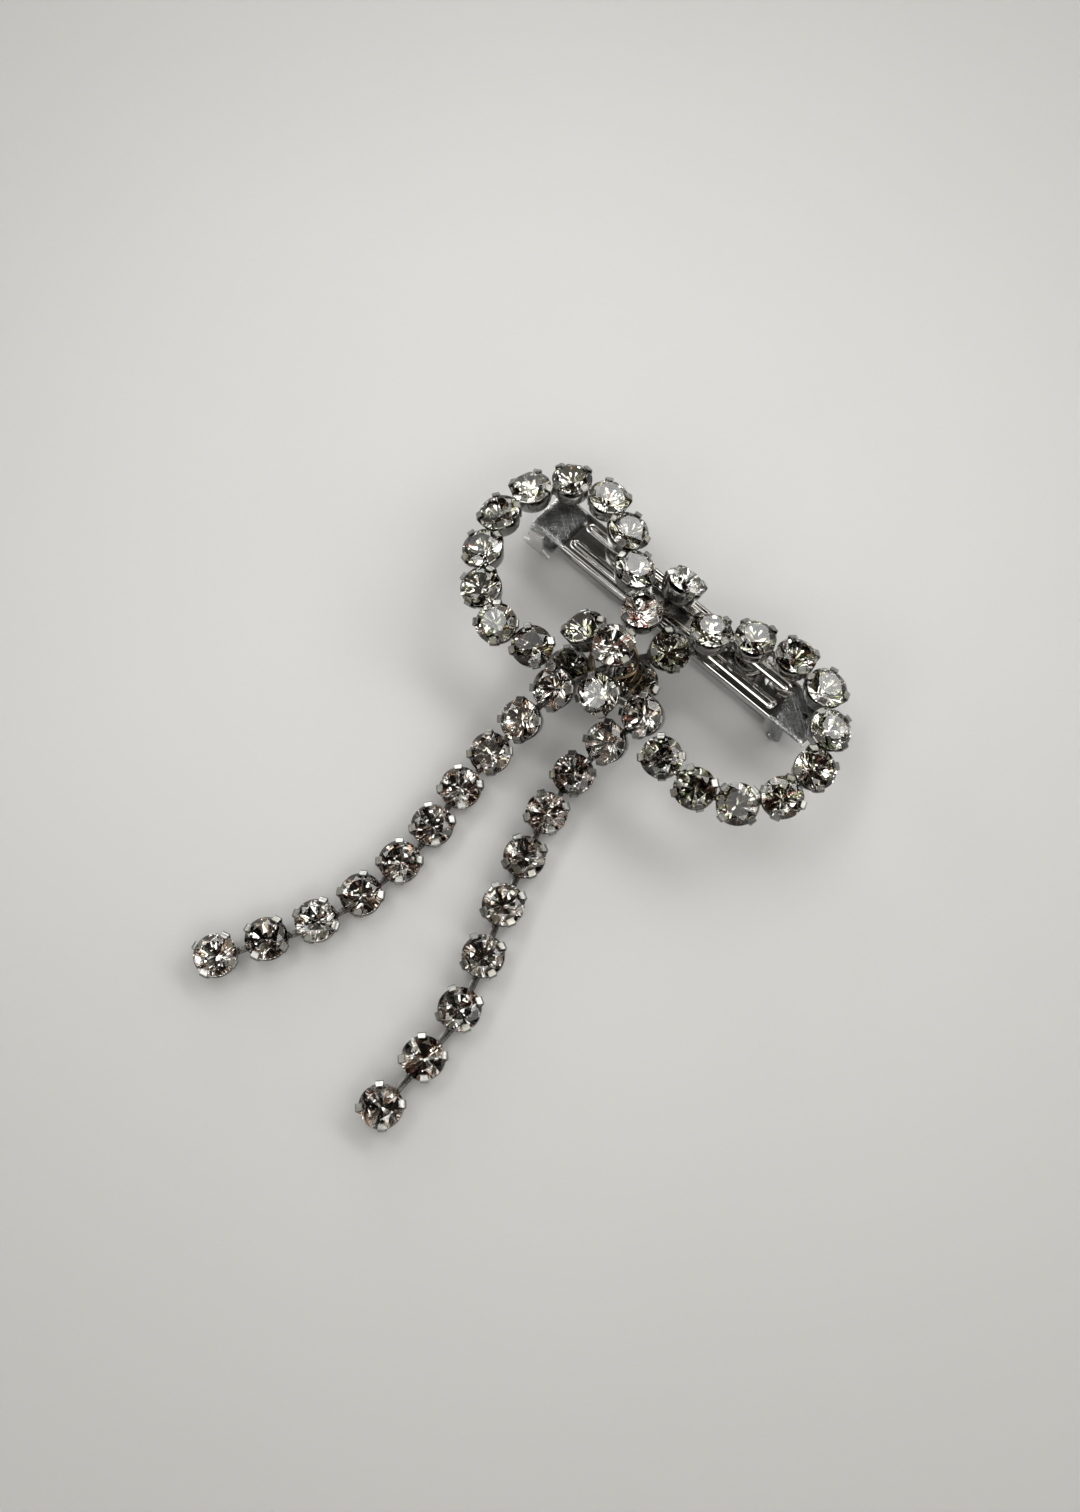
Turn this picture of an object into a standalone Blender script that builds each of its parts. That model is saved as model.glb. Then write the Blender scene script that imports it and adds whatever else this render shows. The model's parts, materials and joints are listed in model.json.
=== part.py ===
"""Rhinestone bow hair clip: two loops, a knot and two hanging tails of cup chain on a metal barrette.

Frame: +X runs along the barrette from the catch to the hinge, the tails hang along -Y, +Z is up.
The origin lies on the surface that the clip stands on, beneath the middle of the barrette.
A cup's own frame has its origin at the middle of its base, +X along the chain and +Z out through
the stone.
"""

import math

import bmesh
import bpy
from mathutils import Matrix, Vector

MM = 0.001
UP = Vector((0, 0, 1))

# Stones and their cups
SIDES = 8
STONE_RADIUS = 3.8 * MM
TABLE_RADIUS = 2.2 * MM
CROWN_HEIGHT = 1.35 * MM
GIRDLE_THICKNESS = 0.25 * MM
PAVILION_DEPTH = 3.1 * MM
STONE_GAP = 0.2 * MM
CULET_GAP = 0.3 * MM
CUP_FLOOR = 0.3 * MM
CUP_LIP = 0.3 * MM
CUP_WALL = 0.45 * MM
CUP_TAPER = 0.8 * MM
PRONG_ANGLES = (45, 135, 225, 315)
PRONG_WIDTH = 1.4 * MM
PRONG_THICKNESS = 0.3 * MM
PRONG_REACH = 0.85 * MM

# The strips that link one cup to the next
TONGUE_WIDTH = 1.3 * MM
TONGUE_THICKNESS = 0.5 * MM
TONGUE_HEIGHT = 1.4 * MM
TONGUE_REACH = 0.75 * MM
SLOT_SIDE_PLAY = 0.3 * MM
SLOT_LIFT_PLAY = 0.55 * MM
PIVOT_INSET = 0.25 * MM

# Bow loops: points on the line of each loop's stones seen from above, in millimetres. The loops,
# tails and knot are drawn for cups of OUTLINE_CUP's radius, and spread with the cups' real size.
OUTLINE_CUP = 4.1 * MM
LOOP_STONES = 10
LOOP_LEAN = 15
LEFT_LOOP = (
    (-11.0, -0.6),
    (-21.8, 7.0),
    (-33.0, 5.3),
    (-38.6, -6.0),
    (-34.6, -18.6),
    (-24.8, -26.4),
    (-14.7, -25.7),
)
RIGHT_LOOP = (
    (7.8, -0.6),
    (18.6, 5.4),
    (31.0, 5.1),
    (38.9, -5.0),
    (38.6, -17.4),
    (29.8, -25.7),
    (17.6, -25.9),
)

# Tails: points that each tail passes seen from above, in millimetres, from its anchor cup to its tip
TAIL_STONES = 9
TAIL_SLOPES = (30, 28, 16, 5)
ANCHOR_LIFT = 1.96 * MM
LEFT_TAIL = (
    (-6.3, -27.9),
    (-8.6, -42.0),
    (-8.4, -57.0),
    (-6.6, -72.0),
    (-9.0, -90.0),
    (-17.8, -107.0),
)
RIGHT_TAIL = (
    (9.6, -20.8),
    (5.6, -33.0),
    (6.0, -47.0),
    (13.0, -68.0),
    (20.6, -88.0),
    (21.6, -107.0),
)
LEFT_GAPS = (0.6 * MM, 1.4 * MM)
RIGHT_GAPS = (0.5 * MM, 2.9 * MM)

# Knot: each cup's stone centre in millimetres, with its height from the top of the plate, the
# angle that it tips by and the way that it tips
KNOT_CUPS = {
    "centre": ((-2.1, -17.2, 11.1), 6, 300),
    "top": ((-4.0, -6.9, 7.1), 8, 120),
    "back": ((-2.0, 3.3, 6.3), 42, 90),
    "upper_left": ((-10.2, -16.3, 5.4), 33, 175),
    "lower_left": ((-8.6, -22.2, -0.9), 5, 180),
    "front": ((0.8, -24.6, 5.1), 38, 275),
    "lower_right": ((3.3, -15.9, 0.1), 8, 330),
    "right": ((5.0, -8.9, 5.5), 20, 10),
}
POST_RADIUS = 0.8 * MM
STEEPEST_STRIP = 0.9

# Barrette
PLATE_LENGTH = 69 * MM
PLATE_WIDTH = 9.4 * MM
PLATE_THICKNESS = 0.6 * MM
PLATE_TOP = 8.5 * MM
END_FOLD = 1.4 * MM
RIB_END_INSET = 9 * MM
RIB_SIDE_INSET = 1.4 * MM
RIB_WIDTH = 1.9 * MM
RIB_HEIGHT = 0.5 * MM
FLANGE_INSET = 10.5 * MM
FLANGE_DROP = 1.6 * MM
FLANGE_THICKNESS = 0.6 * MM
LUG_WIDTH = 4.2 * MM
LUG_WALL = 0.35 * MM
PIN_INSET = 6.9 * MM
PIN_RADIUS = 0.7 * MM
PIN_PLAY = 0.15 * MM
PIN_OVERHANG = 0.5 * MM
CURL_WALL = 0.7 * MM
ARM_SIDE_GAP = 1.8 * MM
ARM_THICKNESS = 0.8 * MM
HEAD_LIFT = 1.5 * MM
HEAD_RAIL = 1.3 * MM
HEAD_SIDE_GAP = 0.8 * MM
HEAD_OPENING = 3.8 * MM
CATCH_INSET = 2.2 * MM
CATCH_LENGTH = 2.6 * MM
WING_NECK = 3.4 * MM
WING_FOOT = 7.0 * MM
WING_THICKNESS = 0.5 * MM
WING_OUTSET = 0.9 * MM
WING_FLOOR_GAP = 0.3 * MM
EAR_TOP = 2.2 * MM
EAR_TIP = 1.1 * MM
EAR_NOTCH = 0.5 * MM
LEG_WIDTH = 2.4 * MM
LEG_PLAY = 0.3 * MM
BARB_HEIGHT = 0.9 * MM
BARB_PLAY = 0.1 * MM
SPRING_SIDE_GAP = 1.3 * MM
SPRING_THICKNESS = 0.3 * MM
SPRING_SAG = 2.1 * MM
SPRING_INSET = 11.4 * MM
SPRING_TURN = math.radians(130)
RIVET_INSET = 3.5 * MM
RIVET_RADIUS = 0.7 * MM
RIVET_HEAD = 0.4 * MM
TOUCH_GAP = 0.3 * MM

CULET_Z = CUP_FLOOR + CULET_GAP
GIRDLE_Z = CULET_Z + PAVILION_DEPTH
CROWN_Z = GIRDLE_Z + GIRDLE_THICKNESS
TABLE_Z = CROWN_Z + CROWN_HEIGHT
CUP_RADIUS = STONE_RADIUS + CUP_LIP
BASE_RADIUS = CUP_RADIUS - CUP_TAPER
RIM_INNER = CUP_RADIUS - CUP_WALL
RIM_Z = CULET_Z + PAVILION_DEPTH * RIM_INNER / STONE_RADIUS - STONE_GAP
PIVOT_RADIUS = BASE_RADIUS + CUP_TAPER * TONGUE_HEIGHT / RIM_Z - PIVOT_INSET
SPREAD = CUP_RADIUS / OUTLINE_CUP
CURL_RADIUS = PIN_RADIUS + PIN_PLAY + CURL_WALL
PIN_X = PLATE_LENGTH / 2 - PIN_INSET
PIN_Z = CURL_RADIUS
RIVET_X = PLATE_LENGTH / 2 - RIVET_INSET
CATCH_X = CATCH_INSET - PLATE_LENGTH / 2
PLATE_UNDER = PLATE_TOP - PLATE_THICKNESS
FLANGE_INNER = PLATE_WIDTH / 2 - FLANGE_THICKNESS
WING_OUTER = PLATE_WIDTH / 2 + WING_OUTSET
WING_INNER = WING_OUTER - WING_THICKNESS
HEAD_OUTER = WING_INNER - HEAD_SIDE_GAP
HEAD_INNER = HEAD_OUTER - HEAD_RAIL


# Shapes


def mesh_of(points, faces):
    """A closed mesh with its faces turned out."""
    shape = bmesh.new()
    verts = [shape.verts.new(point) for point in points]
    for face in faces:
        shape.faces.new([verts[index] for index in face])
    bmesh.ops.recalc_face_normals(shape, faces=shape.faces)
    mesh = bpy.data.meshes.new("shape")
    shape.to_mesh(mesh)
    shape.free()
    return mesh


def turned(profile, sides=SIDES):
    """A solid of flat sides round Z, each section as large as the circle of its radius in the profile."""
    points, rings = [], []
    half_side = math.pi / sides
    corner_share = math.sqrt(half_side / math.tan(half_side)) / math.cos(half_side)
    for radius, height in profile:
        ring = []
        for side in range(sides if radius else 1):
            angle = 2 * half_side * (side + 0.5)
            corner = radius * corner_share
            ring.append(len(points))
            points.append((corner * math.cos(angle), corner * math.sin(angle), height))
        rings.append(ring)
    faces = []
    for low, high in zip(rings, rings[1:]):
        for side in range(sides):
            after = (side + 1) % sides
            corners = [low[side % len(low)], low[after % len(low)]]
            corners += [high[after % len(high)], high[side % len(high)]]
            faces.append(list(dict.fromkeys(corners)))
    for ring in (rings[0], rings[-1]):
        if len(ring) > 1:
            faces.append(ring)
    return mesh_of(points, faces)


def extruded(outline, low, high):
    """A solid with this outline in XZ, from y = low to y = high."""
    count = len(outline)
    points = [(x, y, z) for y in (low, high) for x, z in outline]
    faces = [list(range(count)), list(range(count, 2 * count))]
    for index in range(count):
        after = (index + 1) % count
        faces.append([index, after, count + after, count + index])
    return mesh_of(points, faces)


def block(low, high):
    """A box between two corners."""
    outline = [(low[0], low[2]), (high[0], low[2]), (high[0], high[2]), (low[0], high[2])]
    return extruded(outline, low[1], high[1])


def frame(origin, along, normal):
    """The matrix of a frame with +X along and +Z as near the normal as that allows."""
    x_axis = along.normalized()
    y_axis = normal.cross(x_axis).normalized()
    z_axis = x_axis.cross(y_axis)
    turn = Matrix((x_axis, y_axis, z_axis)).transposed().to_4x4()
    return Matrix.Translation(origin) @ turn


def at(x, y=0, z=0):
    return Matrix.Translation((x, y, z))


def bar(start, end):
    """A chain strip between two points, and its matrix."""
    length = (end - start).length
    low = (0, -TONGUE_WIDTH / 2, -TONGUE_THICKNESS / 2)
    high = (length, TONGUE_WIDTH / 2, TONGUE_THICKNESS / 2)
    steep = abs((end - start).normalized().z) > STEEPEST_STRIP
    side = Vector((1, 0, 0)) if steep else UP
    return block(low, high), frame(start, end - start, side)


def placed(mesh, matrix):
    obj = bpy.data.objects.new("shape", mesh)
    obj.matrix_world = matrix
    bpy.context.scene.collection.objects.link(obj)
    return obj


def combined(solids, cuts=()):
    """One mesh from overlapping solids, less the cuts. Each is a mesh and its matrix."""
    base = placed(solids[0][0], Matrix())
    to_base = solids[0][1].inverted()
    helpers = [base]
    for operation, shapes in (("UNION", solids[1:]), ("DIFFERENCE", cuts)):
        for mesh, matrix in shapes:
            helper = placed(mesh, to_base @ matrix)
            modifier = base.modifiers.new(operation.lower(), "BOOLEAN")
            modifier.operation = operation
            modifier.object = helper
            helpers.append(helper)
    bpy.context.view_layer.update()
    graph = bpy.context.evaluated_depsgraph_get()
    mesh = bpy.data.meshes.new_from_object(base.evaluated_get(graph), depsgraph=graph)
    mesh.transform(solids[0][1])
    for helper in helpers:
        bpy.data.objects.remove(helper)
    return mesh


# Materials


def material(name, colour, roughness, metallic):
    found = bpy.data.materials.new(name)
    found.use_nodes = True
    shader = found.node_tree.nodes["Principled BSDF"]
    shader.inputs["Base Color"].default_value = (*colour, 1)
    shader.inputs["Roughness"].default_value = roughness
    shader.inputs["Metallic"].default_value = metallic
    return found


def node(name, mesh, finish, matrix=None, parent=None, smooth_below=None):
    """One named piece of the clip. The matrix is its place in the world."""
    mesh.name = name
    mesh.materials.clear()
    mesh.materials.append(finish)
    if smooth_below:
        mesh.shade_smooth()
        mesh.set_sharp_from_angle(angle=math.radians(smooth_below))
    obj = bpy.data.objects.new(name, mesh)
    bpy.context.scene.collection.objects.link(obj)
    if parent:
        obj.parent = parent
        obj.matrix_parent_inverse = parent.matrix_world.inverted()
    obj.matrix_world = matrix or Matrix()
    return obj


def pivot(name, matrix, parent=None):
    """An empty on a joint's axis, which the moving pieces hang from."""
    empty = bpy.data.objects.new(name, None)
    empty.empty_display_size = 3 * MM
    bpy.context.scene.collection.objects.link(empty)
    if parent:
        empty.parent = parent
        empty.matrix_parent_inverse = parent.matrix_world.inverted()
    empty.matrix_world = matrix
    bpy.context.view_layer.update()
    return empty


# Stones and cups


def stone():
    return turned([
        (0, CULET_Z),
        (STONE_RADIUS, GIRDLE_Z),
        (STONE_RADIUS, CROWN_Z),
        (TABLE_RADIUS, TABLE_Z),
    ])


def cup_bowl():
    return turned([
        (BASE_RADIUS, 0),
        (CUP_RADIUS, RIM_Z),
        (RIM_INNER, RIM_Z),
        (BASE_RADIUS - CUP_WALL, CUP_FLOOR),
    ])


def prong():
    """A claw that stands out of the cup's wall at +X and folds over the edge of the stone."""
    inner = STONE_RADIUS + STONE_GAP
    outer = inner + PRONG_THICKNESS
    slope = CROWN_HEIGHT / (STONE_RADIUS - TABLE_RADIUS)
    tip = STONE_RADIUS - PRONG_REACH
    tip_z = CROWN_Z + slope * PRONG_REACH + STONE_GAP
    outline = [
        (CUP_RADIUS - CUP_WALL, 0.75 * RIM_Z),
        (outer, RIM_Z),
        (outer, CROWN_Z + 2 * STONE_GAP),
        (tip, tip_z + PRONG_THICKNESS),
        (tip, tip_z),
        (inner, CROWN_Z + STONE_GAP),
    ]
    return extruded(outline, -PRONG_WIDTH / 2, PRONG_WIDTH / 2)


def prong_turns():
    return [Matrix.Rotation(math.radians(angle), 4, "Z") for angle in PRONG_ANGLES]


def cup():
    """A bare four-claw cup."""
    claws = [(prong(), turn) for turn in prong_turns()]
    return combined([(cup_bowl(), Matrix()), *claws])


def slot():
    """The cut through a cup's wall at +X that the next cup's strip enters."""
    half = TONGUE_WIDTH / 2 + SLOT_SIDE_PLAY
    low = TONGUE_HEIGHT - TONGUE_THICKNESS / 2 - SLOT_LIFT_PLAY
    high = TONGUE_HEIGHT + TONGUE_THICKNESS / 2 + SLOT_LIFT_PLAY
    inner, outer = PIVOT_RADIUS - 2 * CUP_WALL, CUP_RADIUS + CUP_WALL
    return block((inner, -half, low), (outer, half, high))


def slotted_cup():
    return combined([(cup(), Matrix())], [(slot(), Matrix())])


def tail_setting(pitch):
    """A slotted cup with the strip that reaches back into the cup before it."""
    start = Vector((-(pitch - PIVOT_RADIUS) - TONGUE_REACH, 0, TONGUE_HEIGHT))
    end = Vector((-PIVOT_RADIUS, 0, TONGUE_HEIGHT))
    return combined([(slotted_cup(), Matrix()), bar(start, end)])


def link(one, other):
    """A strip from the wall of one cup to the wall of the next."""
    middle = Vector((0, 0, TONGUE_HEIGHT))
    start, end = one @ middle, other @ middle
    step = (end - start).normalized() * PIVOT_RADIUS
    return bar(start + step, end - step)


# Lines that the chain follows


def route(points):
    """A smooth line through points in millimetres: its length, and its place and heading anywhere."""
    ends = [Vector(point) * MM * SPREAD for point in points]
    ends = [2 * ends[0] - ends[1], *ends, 2 * ends[-1] - ends[-2]]
    samples = []
    steps = 40
    for before, here, after, beyond in zip(ends, ends[1:], ends[2:], ends[3:]):
        for step in range(steps):
            t = step / steps
            samples.append(0.5 * (
                2 * here
                + (after - before) * t
                + (2 * before - 5 * here + 4 * after - beyond) * t**2
                + (3 * here - before - 3 * after + beyond) * t**3
            ))
    samples.append(ends[-2])
    reached = [0]
    for one, other in zip(samples, samples[1:]):
        reached.append(reached[-1] + (other - one).length)

    def passing(distance):
        index = 0
        while index < len(reached) - 2 and reached[index + 1] < distance:
            index += 1
        one, other = samples[index], samples[index + 1]
        share = (distance - reached[index]) / (reached[index + 1] - reached[index])
        return (one + (other - one) * share).to_3d(), (other - one).normalized().to_3d()

    return reached[-1], passing


def loop_cups(points, outward):
    """The frames of a loop's cups. outward is 1 where the loop bends to the left of its travel, else -1."""
    length, passing = route(points)
    lean = math.radians(LOOP_LEAN)
    height = PLATE_TOP + RIB_HEIGHT + TOUCH_GAP + BASE_RADIUS * math.sin(lean)
    frames = []
    for index in range(LOOP_STONES):
        place, heading = passing(length * index / (LOOP_STONES - 1))
        out = heading.cross(UP) * outward
        normal = UP * math.cos(lean) + out * math.sin(lean)
        shift = out * (GIRDLE_Z * math.sin(lean))
        frames.append(frame(place - shift + UP * height, heading, normal))
    return frames


def tail_slopes(steps):
    """The slope of each cup of a tail, so that a tail of these pitches ends lying flat."""
    falls = [math.sin(math.radians(angle)) for angle in TAIL_SLOPES]
    falls += [0] * (len(steps) + 1 - len(falls))
    drop = 0
    for step, fall, after in zip(steps, falls, falls[1:]):
        drop += PIVOT_RADIUS * fall + (step - PIVOT_RADIUS) * after
    share = (PLATE_TOP + ANCHOR_LIFT * SPREAD - TONGUE_HEIGHT) / drop
    return [math.asin(fall * share) for fall in falls]


def tail_cups(points, gaps):
    """The frames of a tail's cups, the anchor cup first, and the pitch of each link after it."""
    _, passing = route(points)
    first, last = gaps
    steps = []
    for index in range(TAIL_STONES):
        gap = first + (last - first) * index / (TAIL_STONES - 1)
        steps.append(2 * CUP_RADIUS + gap)
    slopes = tail_slopes(steps)
    place, _ = passing(0)
    place += UP * (PLATE_TOP + ANCHOR_LIFT * SPREAD)
    frames = []
    travelled = 0
    for index, slope in enumerate(slopes):
        heading = passing(travelled)[1]
        along = heading * math.cos(slope) - UP * math.sin(slope)
        normal = heading * math.sin(slope) + UP * math.cos(slope)
        if index:
            place = place + along * (steps[index - 1] - PIVOT_RADIUS)
        frames.append(frame(place - normal * TONGUE_HEIGHT, along, normal))
        place = place + along * PIVOT_RADIUS
        if index < TAIL_STONES:
            travelled += steps[index]
    return frames, steps


def knot_cup(name):
    """The frame of a knot cup from the place of its stone and the way that it tips."""
    centre, tip, way = KNOT_CUPS[name]
    side = Vector((math.cos(math.radians(way)), math.sin(math.radians(way)), 0))
    fall = math.radians(tip)
    along = side * math.cos(fall) - UP * math.sin(fall)
    normal = side * math.sin(fall) + UP * math.cos(fall)
    place = Vector(centre) * MM * SPREAD + UP * PLATE_TOP
    return frame(place - normal * GIRDLE_Z, along, normal)


# Pieces of the bow


def joined_cups(frames):
    """Cups in a row, with the strips between them, as one mesh."""
    shape = cup()
    solids = [(shape, matrix) for matrix in frames]
    solids += [link(one, other) for one, other in zip(frames, frames[1:])]
    return combined(solids)


def joined_stones(frames):
    """Stones in a row, with a fine bridge at the girdle from each to the next, as one mesh."""
    shape = stone()
    solids = [(shape, matrix) for matrix in frames]
    half = Vector((0, GIRDLE_THICKNESS, GIRDLE_THICKNESS / 3))
    level = Vector((0, 0, CROWN_Z))
    for one, other in zip(frames, frames[1:]):
        start, end = one @ level, other @ level
        length = Vector(((end - start).length, 0, 0))
        normal = one.to_3x3() @ UP + other.to_3x3() @ UP
        solids.append((block(-half, half + length), frame(start, end - start, normal)))
    return combined(solids)


def knot_settings(anchors):
    """The knot's cups and both tails' anchor cups, tied to one post by strips, as one mesh."""
    plain, slotted = cup(), slotted_cup()
    cups = {name: knot_cup(name) for name in KNOT_CUPS}
    solids = [(plain, matrix) for matrix in cups.values()]
    solids += [(slotted, matrix) for matrix in anchors]
    top = cups["centre"].translation
    foot = cups["lower_left"].translation
    low, high = foot.z - TONGUE_THICKNESS, top.z + CUP_FLOOR / 2
    post = turned([(POST_RADIUS, low), (POST_RADIUS, high)])
    solids.append((post, at(top.x, top.y)))
    left, right = (matrix.translation for matrix in anchors)
    ends = [cups[name].translation for name in KNOT_CUPS if name not in ("centre", "back")]
    solids += [bar(Vector((top.x, top.y, end.z)), end) for end in [*ends, left]]
    solids.append(bar(cups["front"].translation, right))
    solids.append(bar(cups["top"].translation, cups["back"].translation))
    return combined(solids)


def add_tail(side, frames, steps, metal, glass):
    """A chain of settings, each hung from the one before it at the slot that its strip enters."""
    parent = None
    for number, (matrix, before, pitch) in enumerate(zip(frames[1:], frames, steps), 1):
        hinge = before @ Vector((PIVOT_RADIUS, 0, TONGUE_HEIGHT))
        turn = matrix.to_3x3().to_4x4()
        parent = pivot(f"tail_{side}_pivot_{number}", Matrix.Translation(hinge) @ turn, parent)
        node(f"tail_{side}_setting_{number}", tail_setting(pitch), metal, matrix, parent)
        node(f"tail_{side}_stone_{number}", stone(), glass, matrix, parent)


# Pieces of the barrette


def across(radius, low, high, sides=16):
    """A rod along Y."""
    rod = turned([(radius, low), (radius, high)], sides)
    rod.transform(Matrix.Rotation(-math.pi / 2, 4, "X"))
    return rod


def rivet_hole(low, high):
    """The cut for the spring's rivet, through what lies between these heights."""
    radius = RIVET_RADIUS + PIN_PLAY
    return turned([(radius, low - RIVET_HEAD), (radius, high + RIVET_HEAD)])


def rib():
    """A raised bar with round ends along the plate."""
    half = RIB_WIDTH / 2
    straight = PLATE_LENGTH / 2 - RIB_END_INSET - half
    points, faces = [], []
    steps = 5
    for inset, height in ((0, -PLATE_THICKNESS / 2), (0, RIB_HEIGHT / 2), (RIB_HEIGHT, RIB_HEIGHT)):
        for end in (1, -1):
            for step in range(steps):
                angle = math.pi * (step / (steps - 1) - 0.5)
                radius = half - inset / 2
                x = end * (straight + radius * math.cos(angle))
                points.append((x, end * radius * math.sin(angle), height))
    ring = 2 * steps
    for level in (0, 1):
        for index in range(ring):
            after = (index + 1) % ring
            low, high = level * ring, (level + 1) * ring
            faces.append([low + index, low + after, high + after, high + index])
    faces += [list(range(ring)), list(range(2 * ring, 3 * ring))]
    return mesh_of(points, faces)


def top_plate():
    """The long plate with its ribs, side flanges, folded ends and hinge lugs."""
    half_length, half_width = PLATE_LENGTH / 2, PLATE_WIDTH / 2
    middle = PLATE_TOP - PLATE_THICKNESS / 2
    sheet = block(
        (-half_length, -half_width, PLATE_UNDER), (half_length, half_width, PLATE_TOP)
    )
    solids = [(sheet, Matrix())]
    for end in (-1, 1):
        outer, inner = end * half_length, end * (half_length - PLATE_THICKNESS)
        fold = block(
            (min(outer, inner), -half_width, PLATE_TOP - END_FOLD),
            (max(outer, inner), half_width, middle),
        )
        solids.append((fold, Matrix()))
    for side in (-1, 1):
        rib_y = half_width - RIB_SIDE_INSET - RIB_WIDTH / 2
        solids.append((rib(), at(0, side * rib_y, PLATE_TOP)))
        outer, inner = side * half_width, side * FLANGE_INNER
        low, high = min(outer, inner), max(outer, inner)
        flange = block(
            (FLANGE_INSET - half_length, low, PLATE_TOP - FLANGE_DROP), (PIN_X, high, middle)
        )
        lug_low = PIN_Z - PIN_RADIUS - PIN_PLAY - LUG_WALL
        outline = [
            (PIN_X - LUG_WIDTH / 2, middle),
            (PIN_X - LUG_WIDTH / 2, PIN_Z),
            (PIN_X - LUG_WIDTH / 4, lug_low),
            (PIN_X + LUG_WIDTH / 4, lug_low),
            (PIN_X + LUG_WIDTH / 2, PIN_Z),
            (PIN_X + LUG_WIDTH / 2, middle),
        ]
        solids += [(flange, Matrix()), (extruded(outline, low, high), Matrix())]
    bore = across(PIN_RADIUS + PIN_PLAY, -PLATE_WIDTH, PLATE_WIDTH)
    hole = rivet_hole(PLATE_UNDER, PLATE_TOP)
    return combined(solids, [(bore, at(PIN_X, 0, PIN_Z)), (hole, at(RIVET_X))])


def hinge_pin():
    reach = PLATE_WIDTH / 2 + PIN_OVERHANG
    return across(PIN_RADIUS, -reach, reach)


def clasp_arm():
    """The lower bar: a curl round the pin, a flat run and a raised frame that the catch legs hook."""
    half_width = FLANGE_INNER - ARM_SIDE_GAP
    reach = HEAD_OPENING / 2 + HEAD_RAIL
    near = CATCH_X + reach
    head_top = HEAD_LIFT + ARM_THICKNESS
    head = block((CATCH_X - reach, -HEAD_OUTER, HEAD_LIFT), (near, HEAD_OUTER, head_top))
    run = [
        (PIN_X, 0),
        (PIN_X, ARM_THICKNESS),
        (near + 2 * HEAD_LIFT, ARM_THICKNESS),
        (near - HEAD_RAIL / 2, head_top),
        (near - HEAD_RAIL / 2, HEAD_LIFT),
        (near + HEAD_LIFT, 0),
    ]
    flat = extruded(run, -half_width, half_width)
    curl = across(CURL_RADIUS, -half_width, half_width)
    opening = block(
        (CATCH_X - HEAD_OPENING / 2, -HEAD_INNER, 0),
        (CATCH_X + HEAD_OPENING / 2, HEAD_INNER, HEAD_LIFT + head_top),
    )
    bore = across(PIN_RADIUS + PIN_PLAY, -PLATE_WIDTH, PLATE_WIDTH)
    pin_place = at(PIN_X, 0, PIN_Z)
    solids = [(flat, Matrix()), (curl, pin_place), (head, Matrix())]
    return combined(solids, [(bore, pin_place), (opening, Matrix())])


def catch_base():
    """The bridge of the catch, fixed beneath the plate's end."""
    half = CATCH_LENGTH / 2
    reach = WING_INNER - TOUCH_GAP
    top = PLATE_UNDER - TOUCH_GAP
    return block((CATCH_X - half, -reach, top - PLATE_THICKNESS), (CATCH_X + half, reach, top))


def catch_wing():
    """The catch's +Y wing: a fishtail finger plate, and an inner leg whose barb holds the arm."""
    top = PLATE_UNDER - TOUCH_GAP
    neck, foot = WING_NECK / 2, WING_FOOT / 2
    low = WING_FLOOR_GAP
    outline = [
        (CATCH_X - neck, top),
        (CATCH_X - neck, low + EAR_TOP),
        (CATCH_X - foot, low + EAR_TIP),
        (CATCH_X - foot + EAR_NOTCH, low),
        (CATCH_X, low + EAR_NOTCH),
        (CATCH_X + foot - EAR_NOTCH, low),
        (CATCH_X + foot, low + EAR_TIP),
        (CATCH_X + neck, low + EAR_TOP),
        (CATCH_X + neck, top),
    ]
    leg_out = HEAD_INNER - LEG_PLAY
    leg_in = leg_out - WING_THICKNESS
    web_top = top - PLATE_THICKNESS - 2 * TOUCH_GAP
    web_low = web_top - WING_THICKNESS
    rear, front = CATCH_X - LEG_WIDTH / 2, CATCH_X + LEG_WIDTH / 2
    web = block((rear, leg_in, web_low), (front, WING_OUTER - WING_THICKNESS / 2, web_top))
    leg = block((rear, leg_in, low), (front, leg_out, web_low + WING_THICKNESS / 2))
    barb = block((rear, leg_in, low), (front, HEAD_INNER - BARB_PLAY, low + BARB_HEIGHT))
    plate = extruded(outline, WING_INNER, WING_OUTER)
    return combined([(shape, Matrix()) for shape in (plate, web, leg, barb)])


def tension_spring():
    """The thin bowed strip under the plate, riveted at the hinge end and free at the other."""
    top = PLATE_UNDER - TOUCH_GAP
    flat = RIVET_X - 3 * RIVET_RADIUS
    reach = flat - (SPRING_INSET - PLATE_LENGTH / 2)
    half_width = FLANGE_INNER - SPRING_SIDE_GAP
    steps = 10
    upper = [(RIVET_X + 3 * RIVET_RADIUS, top)]
    for step in range(steps + 1):
        share = step / steps
        sag = SPRING_SAG * math.sin(share * SPRING_TURN) ** 1.5
        upper.append((flat - reach * share, top - sag))
    lower = [(x, z - SPRING_THICKNESS) for x, z in reversed(upper)]
    strip = extruded(upper + lower, -half_width, half_width)
    hole = rivet_hole(top - SPRING_THICKNESS, top)
    return combined([(strip, Matrix())], [(hole, at(RIVET_X))])


def spring_rivet():
    """A rivet that holds the spring, flush with the top of the plate and headed below the spring."""
    under = PLATE_UNDER - TOUCH_GAP - SPRING_THICKNESS - TOUCH_GAP / 3
    return turned([
        (2 * RIVET_RADIUS, under - RIVET_HEAD),
        (2 * RIVET_RADIUS, under),
        (RIVET_RADIUS, under),
        (RIVET_RADIUS, PLATE_TOP),
    ])


# The whole clip


def clear_scene():
    for obj in list(bpy.data.objects):
        bpy.data.objects.remove(obj)


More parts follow.
